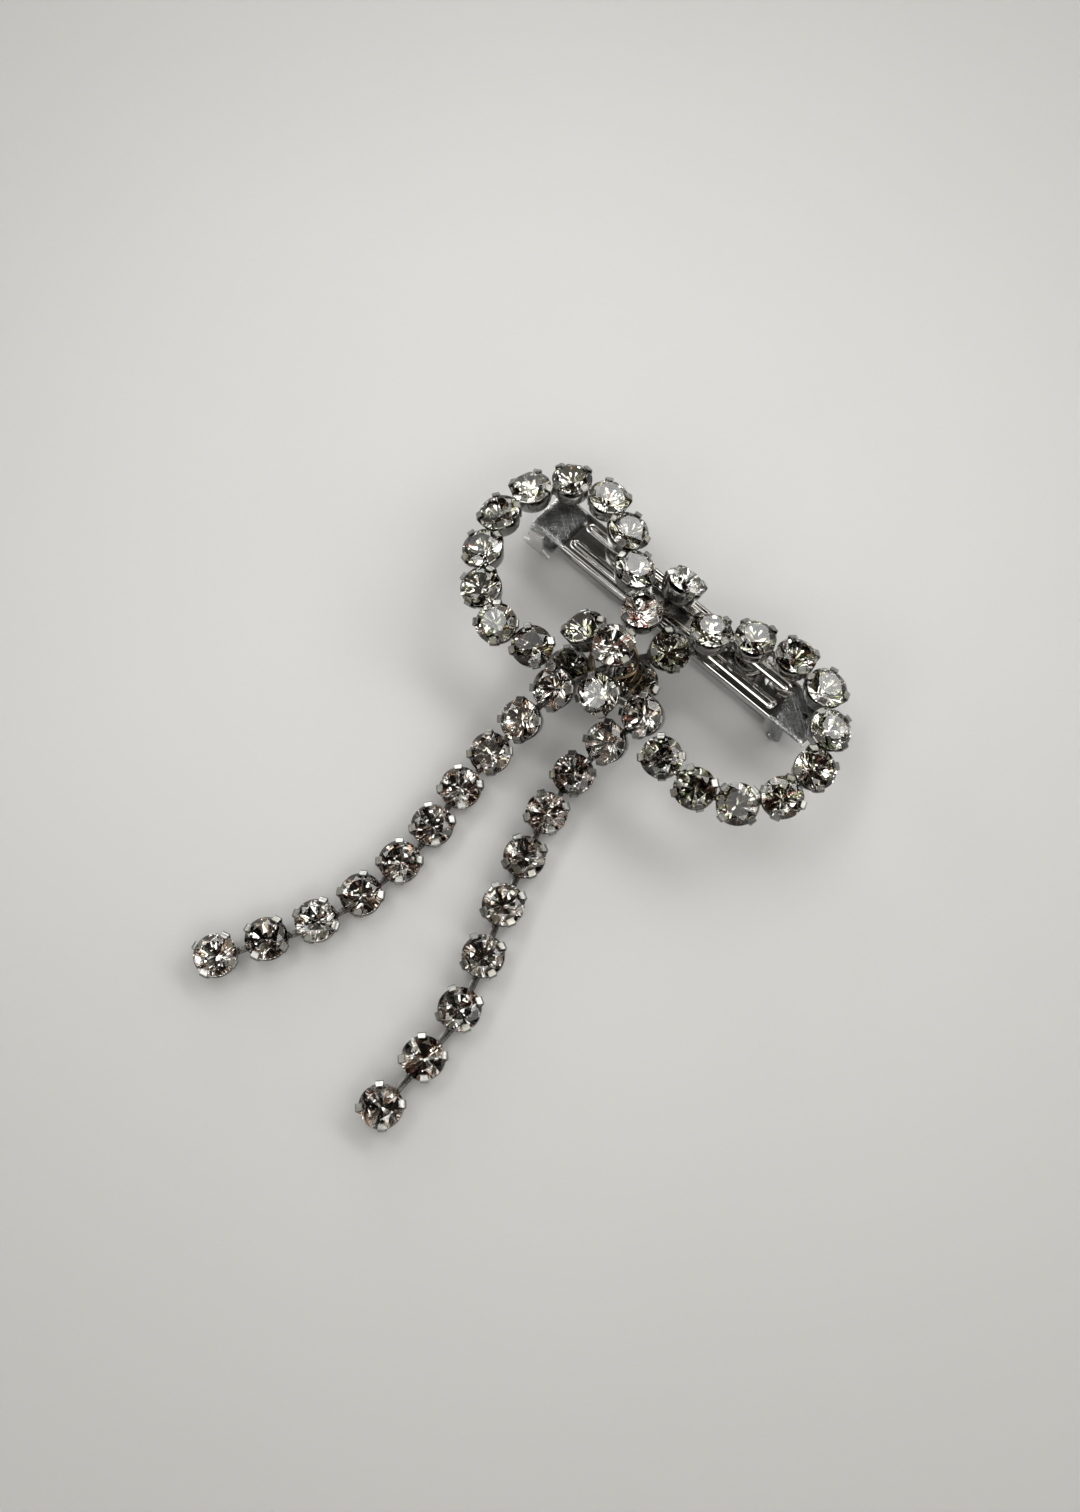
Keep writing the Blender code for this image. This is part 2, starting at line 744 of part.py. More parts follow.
def build_bow(metal, glass):
    loops = {"left": loop_cups(LEFT_LOOP, 1), "right": loop_cups(RIGHT_LOOP, -1)}
    for side, frames in loops.items():
        node(f"{side}_loop_settings", joined_cups(frames), metal)
        node(f"{side}_loop_stones", joined_stones(frames), glass)
    tails = {
        "left": tail_cups(LEFT_TAIL, LEFT_GAPS),
        "right": tail_cups(RIGHT_TAIL, RIGHT_GAPS),
    }
    anchors = {f"{side}_anchor": frames[0] for side, (frames, _) in tails.items()}
    node("knot_settings", knot_settings(list(anchors.values())), metal)
    for name, matrix in {**{name: knot_cup(name) for name in KNOT_CUPS}, **anchors}.items():
        node(f"knot_stone_{name}", stone(), glass, matrix)
    for side, (frames, steps) in tails.items():
        add_tail(side, frames, steps, metal, glass)


def build_barrette(steel):
    node("top_plate", top_plate(), steel)
    node("hinge_pin", hinge_pin(), steel, at(PIN_X, 0, PIN_Z), smooth_below=40)
    arm_pivot = pivot("clasp_arm_pivot", at(PIN_X, 0, PIN_Z))
    node("clasp_arm", clasp_arm(), steel, parent=arm_pivot)
    node("catch_base", catch_base(), steel)
    fold_y = PLATE_WIDTH / 2
    fold_z = PLATE_UNDER - TOUCH_GAP - PLATE_THICKNESS / 2
    for name, side in (("catch_wing_rear", 1), ("catch_wing_front", -1)):
        mesh = catch_wing()
        if side < 0:
            mesh.transform(Matrix.Scale(-1, 4, (0, 1, 0)))
            mesh.flip_normals()
        wing_pivot = pivot(f"{name}_pivot", at(CATCH_X, side * fold_y, fold_z))
        node(name, mesh, steel, parent=wing_pivot)
    spring_pivot = pivot("tension_spring_pivot", at(RIVET_X, 0, fold_z))
    node("tension_spring", tension_spring(), steel, parent=spring_pivot)
    node("spring_rivet", spring_rivet(), steel, at(RIVET_X), smooth_below=40)


def main():
    clear_scene()
    metal = material("rhodium_plate", (0.62, 0.62, 0.63), 0.22, 1)
    steel = material("nickel_steel", (0.68, 0.68, 0.67), 0.25, 1)
    glass = material("clear_crystal", (0.93, 0.93, 0.90), 0.05, 0)
    build_bow(metal, glass)
    build_barrette(steel)


main()
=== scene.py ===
# %% [markdown]
# # Rhinestone bow hair clip
# This notebook dresses a hair clip: foil-backed crystal stones in pressed claw cups, linked into two
# bow loops, a knot and two hanging tails, on a nickel barrette with a sprung catch.
# The design's solids come in first as a fixed frame. Every place below is read from them, so that a
# piece sits where the working clip has it. Sizes that the frame doesn't hold, such as a bend or a
# bead, are named where they are first used.

# %% The fixed frame
import json
import math
import random

import bmesh
import bpy
from mathutils import Matrix, Vector


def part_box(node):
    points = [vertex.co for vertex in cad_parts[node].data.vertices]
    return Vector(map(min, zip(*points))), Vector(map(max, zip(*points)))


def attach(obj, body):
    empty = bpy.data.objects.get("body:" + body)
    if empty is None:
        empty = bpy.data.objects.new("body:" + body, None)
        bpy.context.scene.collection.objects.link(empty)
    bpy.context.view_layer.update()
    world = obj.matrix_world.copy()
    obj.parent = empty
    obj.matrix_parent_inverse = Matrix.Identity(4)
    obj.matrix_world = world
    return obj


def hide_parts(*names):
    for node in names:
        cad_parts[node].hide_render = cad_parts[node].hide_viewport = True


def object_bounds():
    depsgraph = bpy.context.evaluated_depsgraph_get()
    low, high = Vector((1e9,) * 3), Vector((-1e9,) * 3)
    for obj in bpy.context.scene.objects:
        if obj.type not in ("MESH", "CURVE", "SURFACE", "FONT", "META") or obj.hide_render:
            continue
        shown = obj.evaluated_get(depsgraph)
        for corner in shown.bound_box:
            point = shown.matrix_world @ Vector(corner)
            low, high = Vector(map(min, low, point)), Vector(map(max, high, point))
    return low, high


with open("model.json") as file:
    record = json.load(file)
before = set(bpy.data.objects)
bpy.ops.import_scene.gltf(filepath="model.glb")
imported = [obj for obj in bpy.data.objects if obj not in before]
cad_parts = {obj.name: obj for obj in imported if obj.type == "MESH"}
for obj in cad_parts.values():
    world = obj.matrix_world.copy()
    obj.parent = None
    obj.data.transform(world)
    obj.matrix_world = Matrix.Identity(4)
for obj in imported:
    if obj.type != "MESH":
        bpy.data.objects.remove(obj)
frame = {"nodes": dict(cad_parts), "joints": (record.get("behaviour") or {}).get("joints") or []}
cad_low, cad_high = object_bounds()
MM = 0.001
UP = Vector((0, 0, 1))
print("clip of", len(frame["nodes"]), "solids,", [round(v / MM, 1) for v in cad_high - cad_low], "mm")

# %% [markdown]
# ## Camera
# The clip lies on a table and is seen from high up and a little to one side, so the bow runs down
# to the right and its tails fall to the left. Blender's sensor width belongs to the long side of the
# picture. The camera turns with to_track_quat, which points its -Z along a line of sight.

# %% Camera
SENSOR_WIDTH, LENS = 36, 39.05
CLIP_START = 0.01
CAMERA_PLACE = Vector((70.3, -115.8, 294.1)) * MM
CAMERA_SIGHT = Vector((-0.2316, 0.2516, -0.9397))
camera = bpy.data.objects.new("camera", bpy.data.cameras.new("camera"))
bpy.context.scene.collection.objects.link(camera)
camera.location = CAMERA_PLACE
camera.rotation_euler = CAMERA_SIGHT.to_track_quat("-Z", "Y").to_euler()
camera.data.sensor_width = SENSOR_WIDTH
camera.data.lens = LENS
camera.data.clip_start = CLIP_START
bpy.context.scene.camera = camera

# %% [markdown]
# ## Node helpers
# Materials and Geometry Nodes are both graphs. `add` makes a node, sets its properties and fills or
# links its inputs, so that each graph below reads as a short list of steps.

# %% Node helpers
def add(tree, kind, inputs=None, **settings):
    """A new node. inputs maps a socket's name or number to a value or to another node's output."""
    made = tree.nodes.new(kind)
    for key, value in settings.items():
        setattr(made, key, value)
    for key, value in (inputs or {}).items():
        if isinstance(value, bpy.types.NodeSocket):
            tree.links.new(value, made.inputs[key])
        else:
            made.inputs[key].default_value = value
    return made


def maths(tree, operation, one, other=0.0, clamp=False):
    """The result of one sum on two values or outputs."""
    made = add(tree, "ShaderNodeMath", {0: one, 1: other}, operation=operation, use_clamp=clamp)
    return made.outputs[0]


def ramp(tree, value, stops, smooth=True):
    """A colour for each value. stops are (place, colour) pairs."""
    made = add(tree, "ShaderNodeValToRGB", {"Fac": value})
    made.color_ramp.interpolation = "LINEAR" if smooth else "CONSTANT"
    points = made.color_ramp.elements
    while len(points) < len(stops):
        points.new(1)
    for point, (place, colour) in zip(points, stops):
        point.position = place
        point.color = (*colour, 1)
    return made.outputs["Color"]


def mixed(tree, share, one, other):
    """One colour turning into another as share goes from 0 to 1."""
    made = add(tree, "ShaderNodeMix", {0: share, 6: one, 7: other}, data_type="RGBA")
    return made.outputs[2]


def new_group(name, kind, inputs, outputs):
    """An empty node group with named sockets. inputs are (name, type, default)."""
    tree = bpy.data.node_groups.new(name, kind)
    for title, socket_type, default in inputs:
        socket = tree.interface.new_socket(name=title, in_out="INPUT", socket_type=socket_type)
        if default is not None:
            socket.default_value = default
    for title, socket_type in outputs:
        tree.interface.new_socket(name=title, in_out="OUTPUT", socket_type=socket_type)
    return tree, add(tree, "NodeGroupInput").outputs, add(tree, "NodeGroupOutput")


# %% [markdown]
# ## Finishes that several metals share
# Metal sheet is never one even mirror. Rolling and brushing leave fine lines along one way, handling
# leaves faint dull patches, and corners rub bright. The lines and the patches are each a group that gives
# out values only, so any metal can take them with its own size and strength.

# %% Brushed lines and handling marks
def brushed_group():
    """Fine lines along a chosen way, as a height and a tone, both near 0.5."""
    tree, given, out = new_group(
        "brushed_lines",
        "ShaderNodeTree",
        [
            ("Stretch", "NodeSocketVector", (1, 1, 1)),
            ("Scale", "NodeSocketFloat", 4000.0),
            ("Turn", "NodeSocketFloat", 0.0),
        ],
        [("Height", "NodeSocketFloat"), ("Tone", "NodeSocketFloat")],
    )
    place = add(tree, "ShaderNodeTexCoord").outputs["Object"]
    turned = add(
        tree,
        "ShaderNodeVectorRotate",
        {"Vector": place, "Angle": given["Turn"]},
        rotation_type="Z_AXIS",
    )
    stretched = add(
        tree,
        "ShaderNodeVectorMath",
        {0: turned.outputs[0], 1: given["Stretch"]},
        operation="MULTIPLY",
    )
    lines = add(
        tree,
        "ShaderNodeTexNoise",
        {"Vector": stretched.outputs[0], "Scale": given["Scale"], "Detail": 3.0, "Roughness": 0.6},
    )
    broad = add(
        tree,
        "ShaderNodeTexNoise",
        {"Vector": stretched.outputs[0], "Scale": maths(tree, "MULTIPLY", given["Scale"], 0.23)},
    )
    tree.links.new(lines.outputs[0], out.inputs["Height"])
    tree.links.new(broad.outputs[0], out.inputs["Tone"])
    return tree


def handled_group():
    """Soft dull patches and small specks, from 0 on clean metal to 1."""
    tree, given, out = new_group(
        "handled",
        "ShaderNodeTree",
        [("Scale", "NodeSocketFloat", 300.0), ("Amount", "NodeSocketFloat", 0.5)],
        [("Dull", "NodeSocketFloat")],
    )
    place = add(tree, "ShaderNodeTexCoord").outputs["Object"]
    patches = add(
        tree,
        "ShaderNodeTexNoise",
        {"Vector": place, "Scale": given["Scale"], "Detail": 4.0, "Distortion": 0.6},
    )
    spread = add(
        tree,
        "ShaderNodeMapRange",
        {"Value": patches.outputs[0], 1: 0.42, 2: 0.68, 3: 0.0, 4: given["Amount"]},
    )
    tree.links.new(spread.outputs[0], out.inputs["Dull"])
    return tree


BRUSHED = brushed_group()
HANDLED = handled_group()
print("shared finishes:", BRUSHED.name, HANDLED.name)

# %% [markdown]
# ## Metals
# The clip has several: pressed and rhodium-plated cups, darker strips, dull dark binding wire whose
# colour is painted shade for the gaps in the knot, claws worn satin by bending, nickel-plated sheet, a
# satin catch, spring steel and the pin's steel. They differ in how dark the metal is, how sharp its
# reflections are and which way its lines run. The Principled shader stays in each material, with the
# groups feeding it.

# %% Metal maker
STAIN, STREAK, LINE_STRENGTH = 0.5, 0.25, 0.6


def brushed_lines(tree, inputs):
    """The group of brushed lines in a material, with its own values."""
    lines = add(tree, "ShaderNodeGroup", node_tree=BRUSHED)
    for title, value in inputs.items():
        lines.inputs[title].default_value = value
    return lines


def metal(name, dark, light, rough, dull_rough, stretch, scale, depth, turn=0.0, amount=0.6):
    """A plated metal between two colours, with lines of its own size and depth in millimetres."""
    made = bpy.data.materials.new(name)
    made.use_nodes = True
    tree = made.node_tree
    shader = tree.nodes["Principled BSDF"]
    line_inputs = {"Stretch": stretch, "Scale": scale, "Turn": turn}
    lines = brushed_lines(tree, line_inputs)
    marks = add(tree, "ShaderNodeGroup", node_tree=HANDLED)
    marks.inputs["Amount"].default_value = amount
    tone = mixed(tree, lines.outputs["Tone"], (*dark, 1), (*light, 1))
    stain = maths(tree, "MULTIPLY", marks.outputs["Dull"], STAIN)
    dulled = mixed(tree, stain, tone, (*dark, 1))
    tree.links.new(dulled, shader.inputs["Base Color"])
    spread = add(
        tree,
        "ShaderNodeMapRange",
        {"Value": marks.outputs["Dull"], 3: rough, 4: dull_rough},
    )
    streaked = maths(tree, "MULTIPLY", maths(tree, "SUBTRACT", lines.outputs["Tone"], 0.5), STREAK)
    tree.links.new(
        maths(tree, "ADD", spread.outputs[0], streaked, clamp=True), shader.inputs["Roughness"]
    )
    bump = add(
        tree, "ShaderNodeBump", {"Height": lines.outputs["Height"], "Distance": depth * MM}
    )
    bump.inputs["Strength"].default_value = LINE_STRENGTH
    tree.links.new(bump.outputs[0], shader.inputs["Normal"])
    shader.inputs["Metallic"].default_value = 1
    return made


CUP_METAL = metal(
    "pressed_rhodium", (0.08, 0.075, 0.07), (0.46, 0.45, 0.43), 0.12, 0.34, (1, 1, 1), 900, 0.02
)
STRIP_METAL = metal(
    "beaded_strip", (0.06, 0.055, 0.05), (0.26, 0.25, 0.24), 0.2, 0.4, (1, 1, 1), 1500, 0.02
)
# The wire's dark colour is painted shade for the gaps between the knot's stones.
WIRE_METAL_PAINTED_SHADE = metal(
    "dark_wire", (0.05, 0.035, 0.02), (0.3, 0.23, 0.15), 0.22, 0.4, (1, 1, 1), 2600, 0.02
)
CLAW_METAL = metal(
    "bent_claw", (0.13, 0.13, 0.12), (0.4, 0.4, 0.38), 0.2, 0.4, (1, 1, 0.2), 1100, 0.03
)
SATIN_METAL = metal(
    "satin_catch", (0.62, 0.62, 0.60), (0.84, 0.84, 0.82), 0.3, 0.46, (0.1, 1, 0.1), 5000, 0.012
)
SPRING_METAL = metal(
    "spring_steel", (0.34, 0.35, 0.37), (0.58, 0.59, 0.60), 0.2, 0.38, (0.04, 1, 0.3), 5000, 0.01
)
PIN_METAL = metal(
    "pin_steel", (0.22, 0.22, 0.23), (0.5, 0.5, 0.5), 0.16, 0.4, (0.3, 1, 1), 3000, 0.01
)


# %% [markdown]
# The plate's sheet is polished in the middle and brushed in two crossing ways on the pads at its
# ends, where the ribs stop. The end folds carry a painted highlight: their colour is made bright where
# the sheet bends down. Masks along X fade from one finish to the next.

# %% Plate metal
PAD_FADE, FOLD_HIGHLIGHT_FADE = 0.6 * MM, 0.3 * MM
PAD_TURNS = (0.62, -0.85)
PAD_LINES = {"Stretch": (0.06, 1, 1), "Scale": 2600}
PAD_DEPTH, PAD_ROUGHER, PAD_WEAR = 0.09 * MM, 0.16, 0.7
# The fold tone is a painted highlight colour; the pad and scratch tones are wear.
PAD_TONE, SCRATCH_TONE, FOLD_HIGHLIGHT_TONE = (0.13, 0.145, 0.15, 1), (0.7, 0.71, 0.72, 1), (0.85, 0.85, 0.84, 1)


def plate_metal(pad_start, fold_start):
    """Nickel sheet, polished between the pads, cross-brushed on them, with a painted highlight at the end
    folds.
    """
    made = metal(
        "nickel_sheet", (0.42, 0.42, 0.41), (0.74, 0.74, 0.73), 0.07, 0.2, (0.06, 1, 1), 2500, 0.006
    )
    tree = made.node_tree
    shader = tree.nodes["Principled BSDF"]
    place = add(tree, "ShaderNodeTexCoord").outputs["Object"]
    along = maths(tree, "ABSOLUTE", add(tree, "ShaderNodeSeparateXYZ", {0: place}).outputs[0])
    ends = {"Value": along, 1: pad_start - PAD_FADE, 2: pad_start + PAD_FADE}
    pad = add(tree, "ShaderNodeMapRange", ends).outputs[0]
    ways = [
        brushed_lines(tree, {**PAD_LINES, "Turn": turn}).outputs["Height"] for turn in PAD_TURNS
    ]
    crossed = maths(tree, "MULTIPLY", maths(tree, "ADD", *ways), pad)
    bump = add(tree, "ShaderNodeBump", {"Height": crossed, "Distance": PAD_DEPTH})
    old = shader.inputs["Normal"].links[0].from_socket
    tree.links.new(old, bump.inputs["Normal"])
    tree.links.new(bump.outputs[0], shader.inputs["Normal"])
    smooth = shader.inputs["Roughness"].links[0].from_socket
    rough = maths(tree, "ADD", smooth, maths(tree, "MULTIPLY", pad, PAD_ROUGHER), clamp=True)
    tree.links.new(rough, shader.inputs["Roughness"])
    colour = shader.inputs["Base Color"].links[0].from_socket
    worn = mixed(tree, maths(tree, "MULTIPLY", pad, PAD_WEAR), colour, PAD_TONE)
    streaks = maths(tree, "MULTIPLY", maths(tree, "SUBTRACT", crossed, 0.9), 1.6, clamp=True)
    streaked = mixed(tree, streaks, worn, SCRATCH_TONE)
    # Painted highlight: past the start of each end fold the colour turns bright, standing for the light
    # that the bend catches.
    past_fold = {"Value": along, 1: fold_start, 2: fold_start + FOLD_HIGHLIGHT_FADE}
    fold_highlight = add(tree, "ShaderNodeMapRange", past_fold).outputs[0]
    bright = mixed(tree, fold_highlight, streaked, FOLD_HIGHLIGHT_TONE)
    tree.links.new(bright, shader.inputs["Base Color"])
    return made


# %% [markdown]
# ## Crystal and its foil
# A rhinestone is clear glass with a mirror foil on its pointed back. Light goes in through the flat
# table, is thrown about by the foil facets and comes out as hard bright and dark wedges. So the stone
# is one closed body in two materials: real refracting glass in front, polished metal behind.
# Each foil panel takes its own base colour, from bright silver to near black, with brown, olive, moss,
# ruby, rose and amber between. Silver and pale silver are the foil's own colour; the others are painted
# reflections of the darker and tinted parts of the room that each panel throws back. Some are a little
# dull, as pressed foil is.

# %% Crystal and foil
GLASS_IOR = 1.58
HAZE_SCALE = 900.0
HALVES_FROM = 100
STONE_STEP = 37.0
DULL_PANELS = (0.74, 0.78)
BRIGHT_ROUGH, DULL_ROUGH = 0.02, 0.16


def crystal():
    """Clear lead glass."""
    made = bpy.data.materials.new("lead_crystal")
    made.use_nodes = True
    tree = made.node_tree
    shader = tree.nodes["Principled BSDF"]
    place = add(tree, "ShaderNodeTexCoord").outputs["Object"]
    haze = add(tree, "ShaderNodeTexNoise", {"Vector": place, "Scale": HAZE_SCALE, "Detail": 3.0})
    wiped = add(tree, "ShaderNodeMapRange", {"Value": haze.outputs[0], 1: 0.5, 2: 0.8, 3: 0.0, 4: 0.05})
    tree.links.new(wiped.outputs[0], shader.inputs["Roughness"])
    tone = mixed(tree, haze.outputs[0], (1.0, 1.0, 0.98, 1), (0.97, 0.98, 0.95, 1))
    tree.links.new(tone, shader.inputs["Base Color"])
    shader.inputs["IOR"].default_value = GLASS_IOR
    shader.inputs["Transmission Weight"].default_value = 1
    return made


def foil(name, main_tints_and_painted_reflections, half_tints_and_painted_reflections):
    """Mirror foil with painted reflections. A panel's own number and its stone's pick its base colour,
    silver or a painted reflection, from one list on the long mains and from another on the narrow halves."""
    made = bpy.data.materials.new(name)
    made.use_nodes = True
    tree = made.node_tree
    shader = tree.nodes["Principled BSDF"]
    facet = add(tree, "ShaderNodeAttribute", attribute_name="facet").outputs["Fac"]
    stone = add(tree, "ShaderNodeAttribute", attribute_name="stone").outputs["Fac"]
    number = maths(tree, "ADD", maths(tree, "MULTIPLY", stone, STONE_STEP), facet)
    pick = add(tree, "ShaderNodeTexWhiteNoise", {"W": number}, noise_dimensions="1D")
    colours = []
    for tints in (main_tints_and_painted_reflections, half_tints_and_painted_reflections):
        stops = [(index / len(tints), tint) for index, tint in enumerate(tints)]
        colours.append(ramp(tree, pick.outputs[0], stops, smooth=False))
    is_half = maths(tree, "GREATER_THAN", facet, HALVES_FROM - 0.5)
    tree.links.new(mixed(tree, is_half, *colours), shader.inputs["Base Color"])
    low, high = DULL_PANELS
    shares = {"Value": pick.outputs[1], 1: low, 2: high, 3: BRIGHT_ROUGH, 4: DULL_ROUGH}
    tree.links.new(add(tree, "ShaderNodeMapRange", shares).outputs[0], shader.inputs["Roughness"])
    shader.inputs["Metallic"].default_value = 1
    return made


# Foil colours: silver and pale are the foil's own; the dark, brown, olive, moss, ruby, rose and amber ones
# are painted reflections of dark and tinted parts of the room.
SILVER, PALE, PAINTED_DARK_REFLECTION = (0.96, 0.96, 0.95), (0.88, 0.88, 0.86), (0.012, 0.01, 0.01)
PAINTED_BROWN_REFLECTION, PAINTED_OLIVE_REFLECTION, PAINTED_MOSS_REFLECTION = (0.1, 0.05, 0.035), (0.66, 0.67, 0.5), (0.1, 0.11, 0.06)
PAINTED_RUBY_REFLECTION = (0.55, 0.1, 0.08)
PAINTED_ROSE_REFLECTION, PAINTED_AMBER_REFLECTION = (0.86, 0.78, 0.75), (0.52, 0.42, 0.34)
CRYSTAL = crystal()
LOOP_FOIL = foil(
    "loop_foil",
    [SILVER, PAINTED_DARK_REFLECTION, PALE, PAINTED_MOSS_REFLECTION, SILVER, PAINTED_BROWN_REFLECTION, SILVER, PAINTED_OLIVE_REFLECTION, PAINTED_DARK_REFLECTION, SILVER],
    [PAINTED_DARK_REFLECTION, SILVER, PAINTED_MOSS_REFLECTION, SILVER, PAINTED_BROWN_REFLECTION, SILVER, PAINTED_DARK_REFLECTION, PAINTED_OLIVE_REFLECTION],
)
CENTRE_FOIL = foil(
    "centre_foil",
    [SILVER, PAINTED_ROSE_REFLECTION, PALE, SILVER, PAINTED_RUBY_REFLECTION, SILVER, PALE, SILVER],
    [SILVER, PAINTED_BROWN_REFLECTION, SILVER, PALE, PAINTED_DARK_REFLECTION, SILVER, PAINTED_ROSE_REFLECTION, SILVER],
)
TAIL_FOIL = foil(
    "tail_foil",
    [SILVER, PAINTED_BROWN_REFLECTION, PALE, SILVER, PAINTED_DARK_REFLECTION, SILVER, PAINTED_ROSE_REFLECTION, SILVER, PAINTED_BROWN_REFLECTION, SILVER],
    [PAINTED_DARK_REFLECTION, SILVER, PAINTED_BROWN_REFLECTION, SILVER, PAINTED_DARK_REFLECTION, PAINTED_ROSE_REFLECTION, SILVER, PAINTED_AMBER_REFLECTION],
)
print("glass and", LOOP_FOIL.name, TAIL_FOIL.name)

# %% [markdown]
# ## Where each stone and cup sits
# Each stone in the frame is a blunt solid with one point at its back, where eight facets meet. That
# point, and the way that lies evenly between the eight facets, give the stone's own axis. A cup's own
# frame is then: origin at the middle of its base, +Z out through the stone, +X along the chain. A
# knot cup isn't on a chain, so its +X is the way that it tips.

# %% Stone axes
CULET_LIFT = 0.6 * MM
STRIP_HEIGHT = 1.4 * MM
POINT_FACETS = 8
SAME_PLANE = math.cos(math.radians(3))
WELD = 0.001 * MM


def merged(node):
    """A working copy of a frame solid, with its loose triangles joined at their corners."""
    shape = bmesh.new()
    shape.from_mesh(frame["nodes"][node].data)
    bmesh.ops.remove_doubles(shape, verts=shape.verts, dist=WELD)
    return shape


def stone_axes(node):
    """The point and the outward direction of each stone in a frame solid."""
    shape = merged(node)
    shape.normal_update()
    found = []
    for vert in shape.verts:
        planes = []
        for face in vert.link_faces:
            if all(face.normal.dot(plane) < SAME_PLANE for plane in planes):
                planes.append(face.normal.copy())
        if len(planes) == POINT_FACETS:
            found.append((vert.co.copy(), -sum(planes, Vector()).normalized()))
    shape.free()
    return found


def cup_frame(axis, along):
    """A cup's frame from its stone's axis and the way that the chain runs."""
    point, normal = axis
    x_axis = (along - normal * along.dot(normal)).normalized()
    turn = Matrix((x_axis, normal.cross(x_axis), normal)).transposed().to_4x4()
    return Matrix.Translation(point - normal * CULET_LIFT) @ turn


# %% Cup frames of the loops, knot and tails
def loop_frames(side):
    """A loop's cups in chain order, from the knot round and back."""
    axes = stone_axes(f"{side}_loop_stones")
    middle = sum((axis[0] for axis in axes), Vector()) / len(axes)
    away = KNOT_MIDDLE - middle
    start = math.atan2(away.y, away.x)

    def turned(axis):
        out = axis[0] - middle
        return (math.atan2(out.y, out.x) - start) % (2 * math.pi)

    axes.sort(key=turned)
    if side == "left":
        axes.reverse()
    frames = []
    for index, axis in enumerate(axes):
        before, after = axes[max(index - 1, 0)], axes[min(index + 1, len(axes) - 1)]
        frames.append(cup_frame(axis, after[0] - before[0]))
    return frames


def tail_frames(side):
    """A tail's anchor cup and its linked cups, each facing on from the hinge before it."""
    hinges = [
        Vector(joint["pos_m"]) for joint in frame["joints"] if joint["child"].startswith(f"tail_{side}")
    ]
    anchor = stone_axes(f"knot_stone_{side}_anchor")[0]
    frames = [cup_frame(anchor, hinges[0] - anchor[0])]
    for number, hinge in enumerate(hinges, 1):
        axis = stone_axes(f"tail_{side}_stone_{number}")[0]
        middle = axis[0] + axis[1] * (STRIP_HEIGHT - CULET_LIFT)
        frames.append(cup_frame(axis, middle - hinge))
    return frames, hinges


KNOT_NAMES = ["centre", "top", "back", "upper_left", "lower_left", "front", "lower_right", "right"]
knot_low, knot_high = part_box("knot_settings")
KNOT_MIDDLE = (knot_low + knot_high) / 2
KNOT_FRAMES = {}
for name in KNOT_NAMES:
    axis = stone_axes(f"knot_stone_{name}")[0]
    KNOT_FRAMES[name] = cup_frame(axis, Vector((axis[1].x, axis[1].y, 0)))
LOOP_FRAMES = {side: loop_frames(side) for side in ("left", "right")}
TAILS = {side: tail_frames(side) for side in ("left", "right")}
in_loops = [len(found) for found in LOOP_FRAMES.values()]
print("cups:", len(KNOT_FRAMES), "in the knot,", in_loops, "in the loops")

# %% [markdown]
# ## A cut stone
# The cut is a round brilliant: an eight-sided table, eight star facets, eight kites and sixteen
# girdle facets in front, and eight long mains with sixteen narrow halves behind. Every corner lies on
# a circle, so the cut is worked out ring by ring, and kites are flat because their side corners are
# set on the plane through their two ends. Each main is two foil panels, side by side in one plane,
# which gives the fan of sixteen wedges seen through the table.

# %% Cut stone
CUT_RADIUS = 3.95 * MM
TABLE_RADIUS = 2.4 * MM
KITE_RADIUS = 3.25 * MM
HALVES_RADIUS = 0.95 * MM
TABLE_Z, CROWN_Z, GIRDLE_Z, CULET_Z = 5.3 * MM, 3.95 * MM, 3.7 * MM, CULET_LIFT
MAINS = 8
PANELS_EACH_WAY, HALVES_AFTER = 4, 2


def corner(radius, step, z):
    """A corner on a circle. A step is a thirty-second of a turn."""
    angle = math.pi * step / 16
    return Vector((radius * math.cos(angle), radius * math.sin(angle), z))


def tagged(shape, name):
    """The face layer of this name, made if it isn't there."""
    layers = shape.faces.layers.float
    return layers.get(name) or layers.new(name)


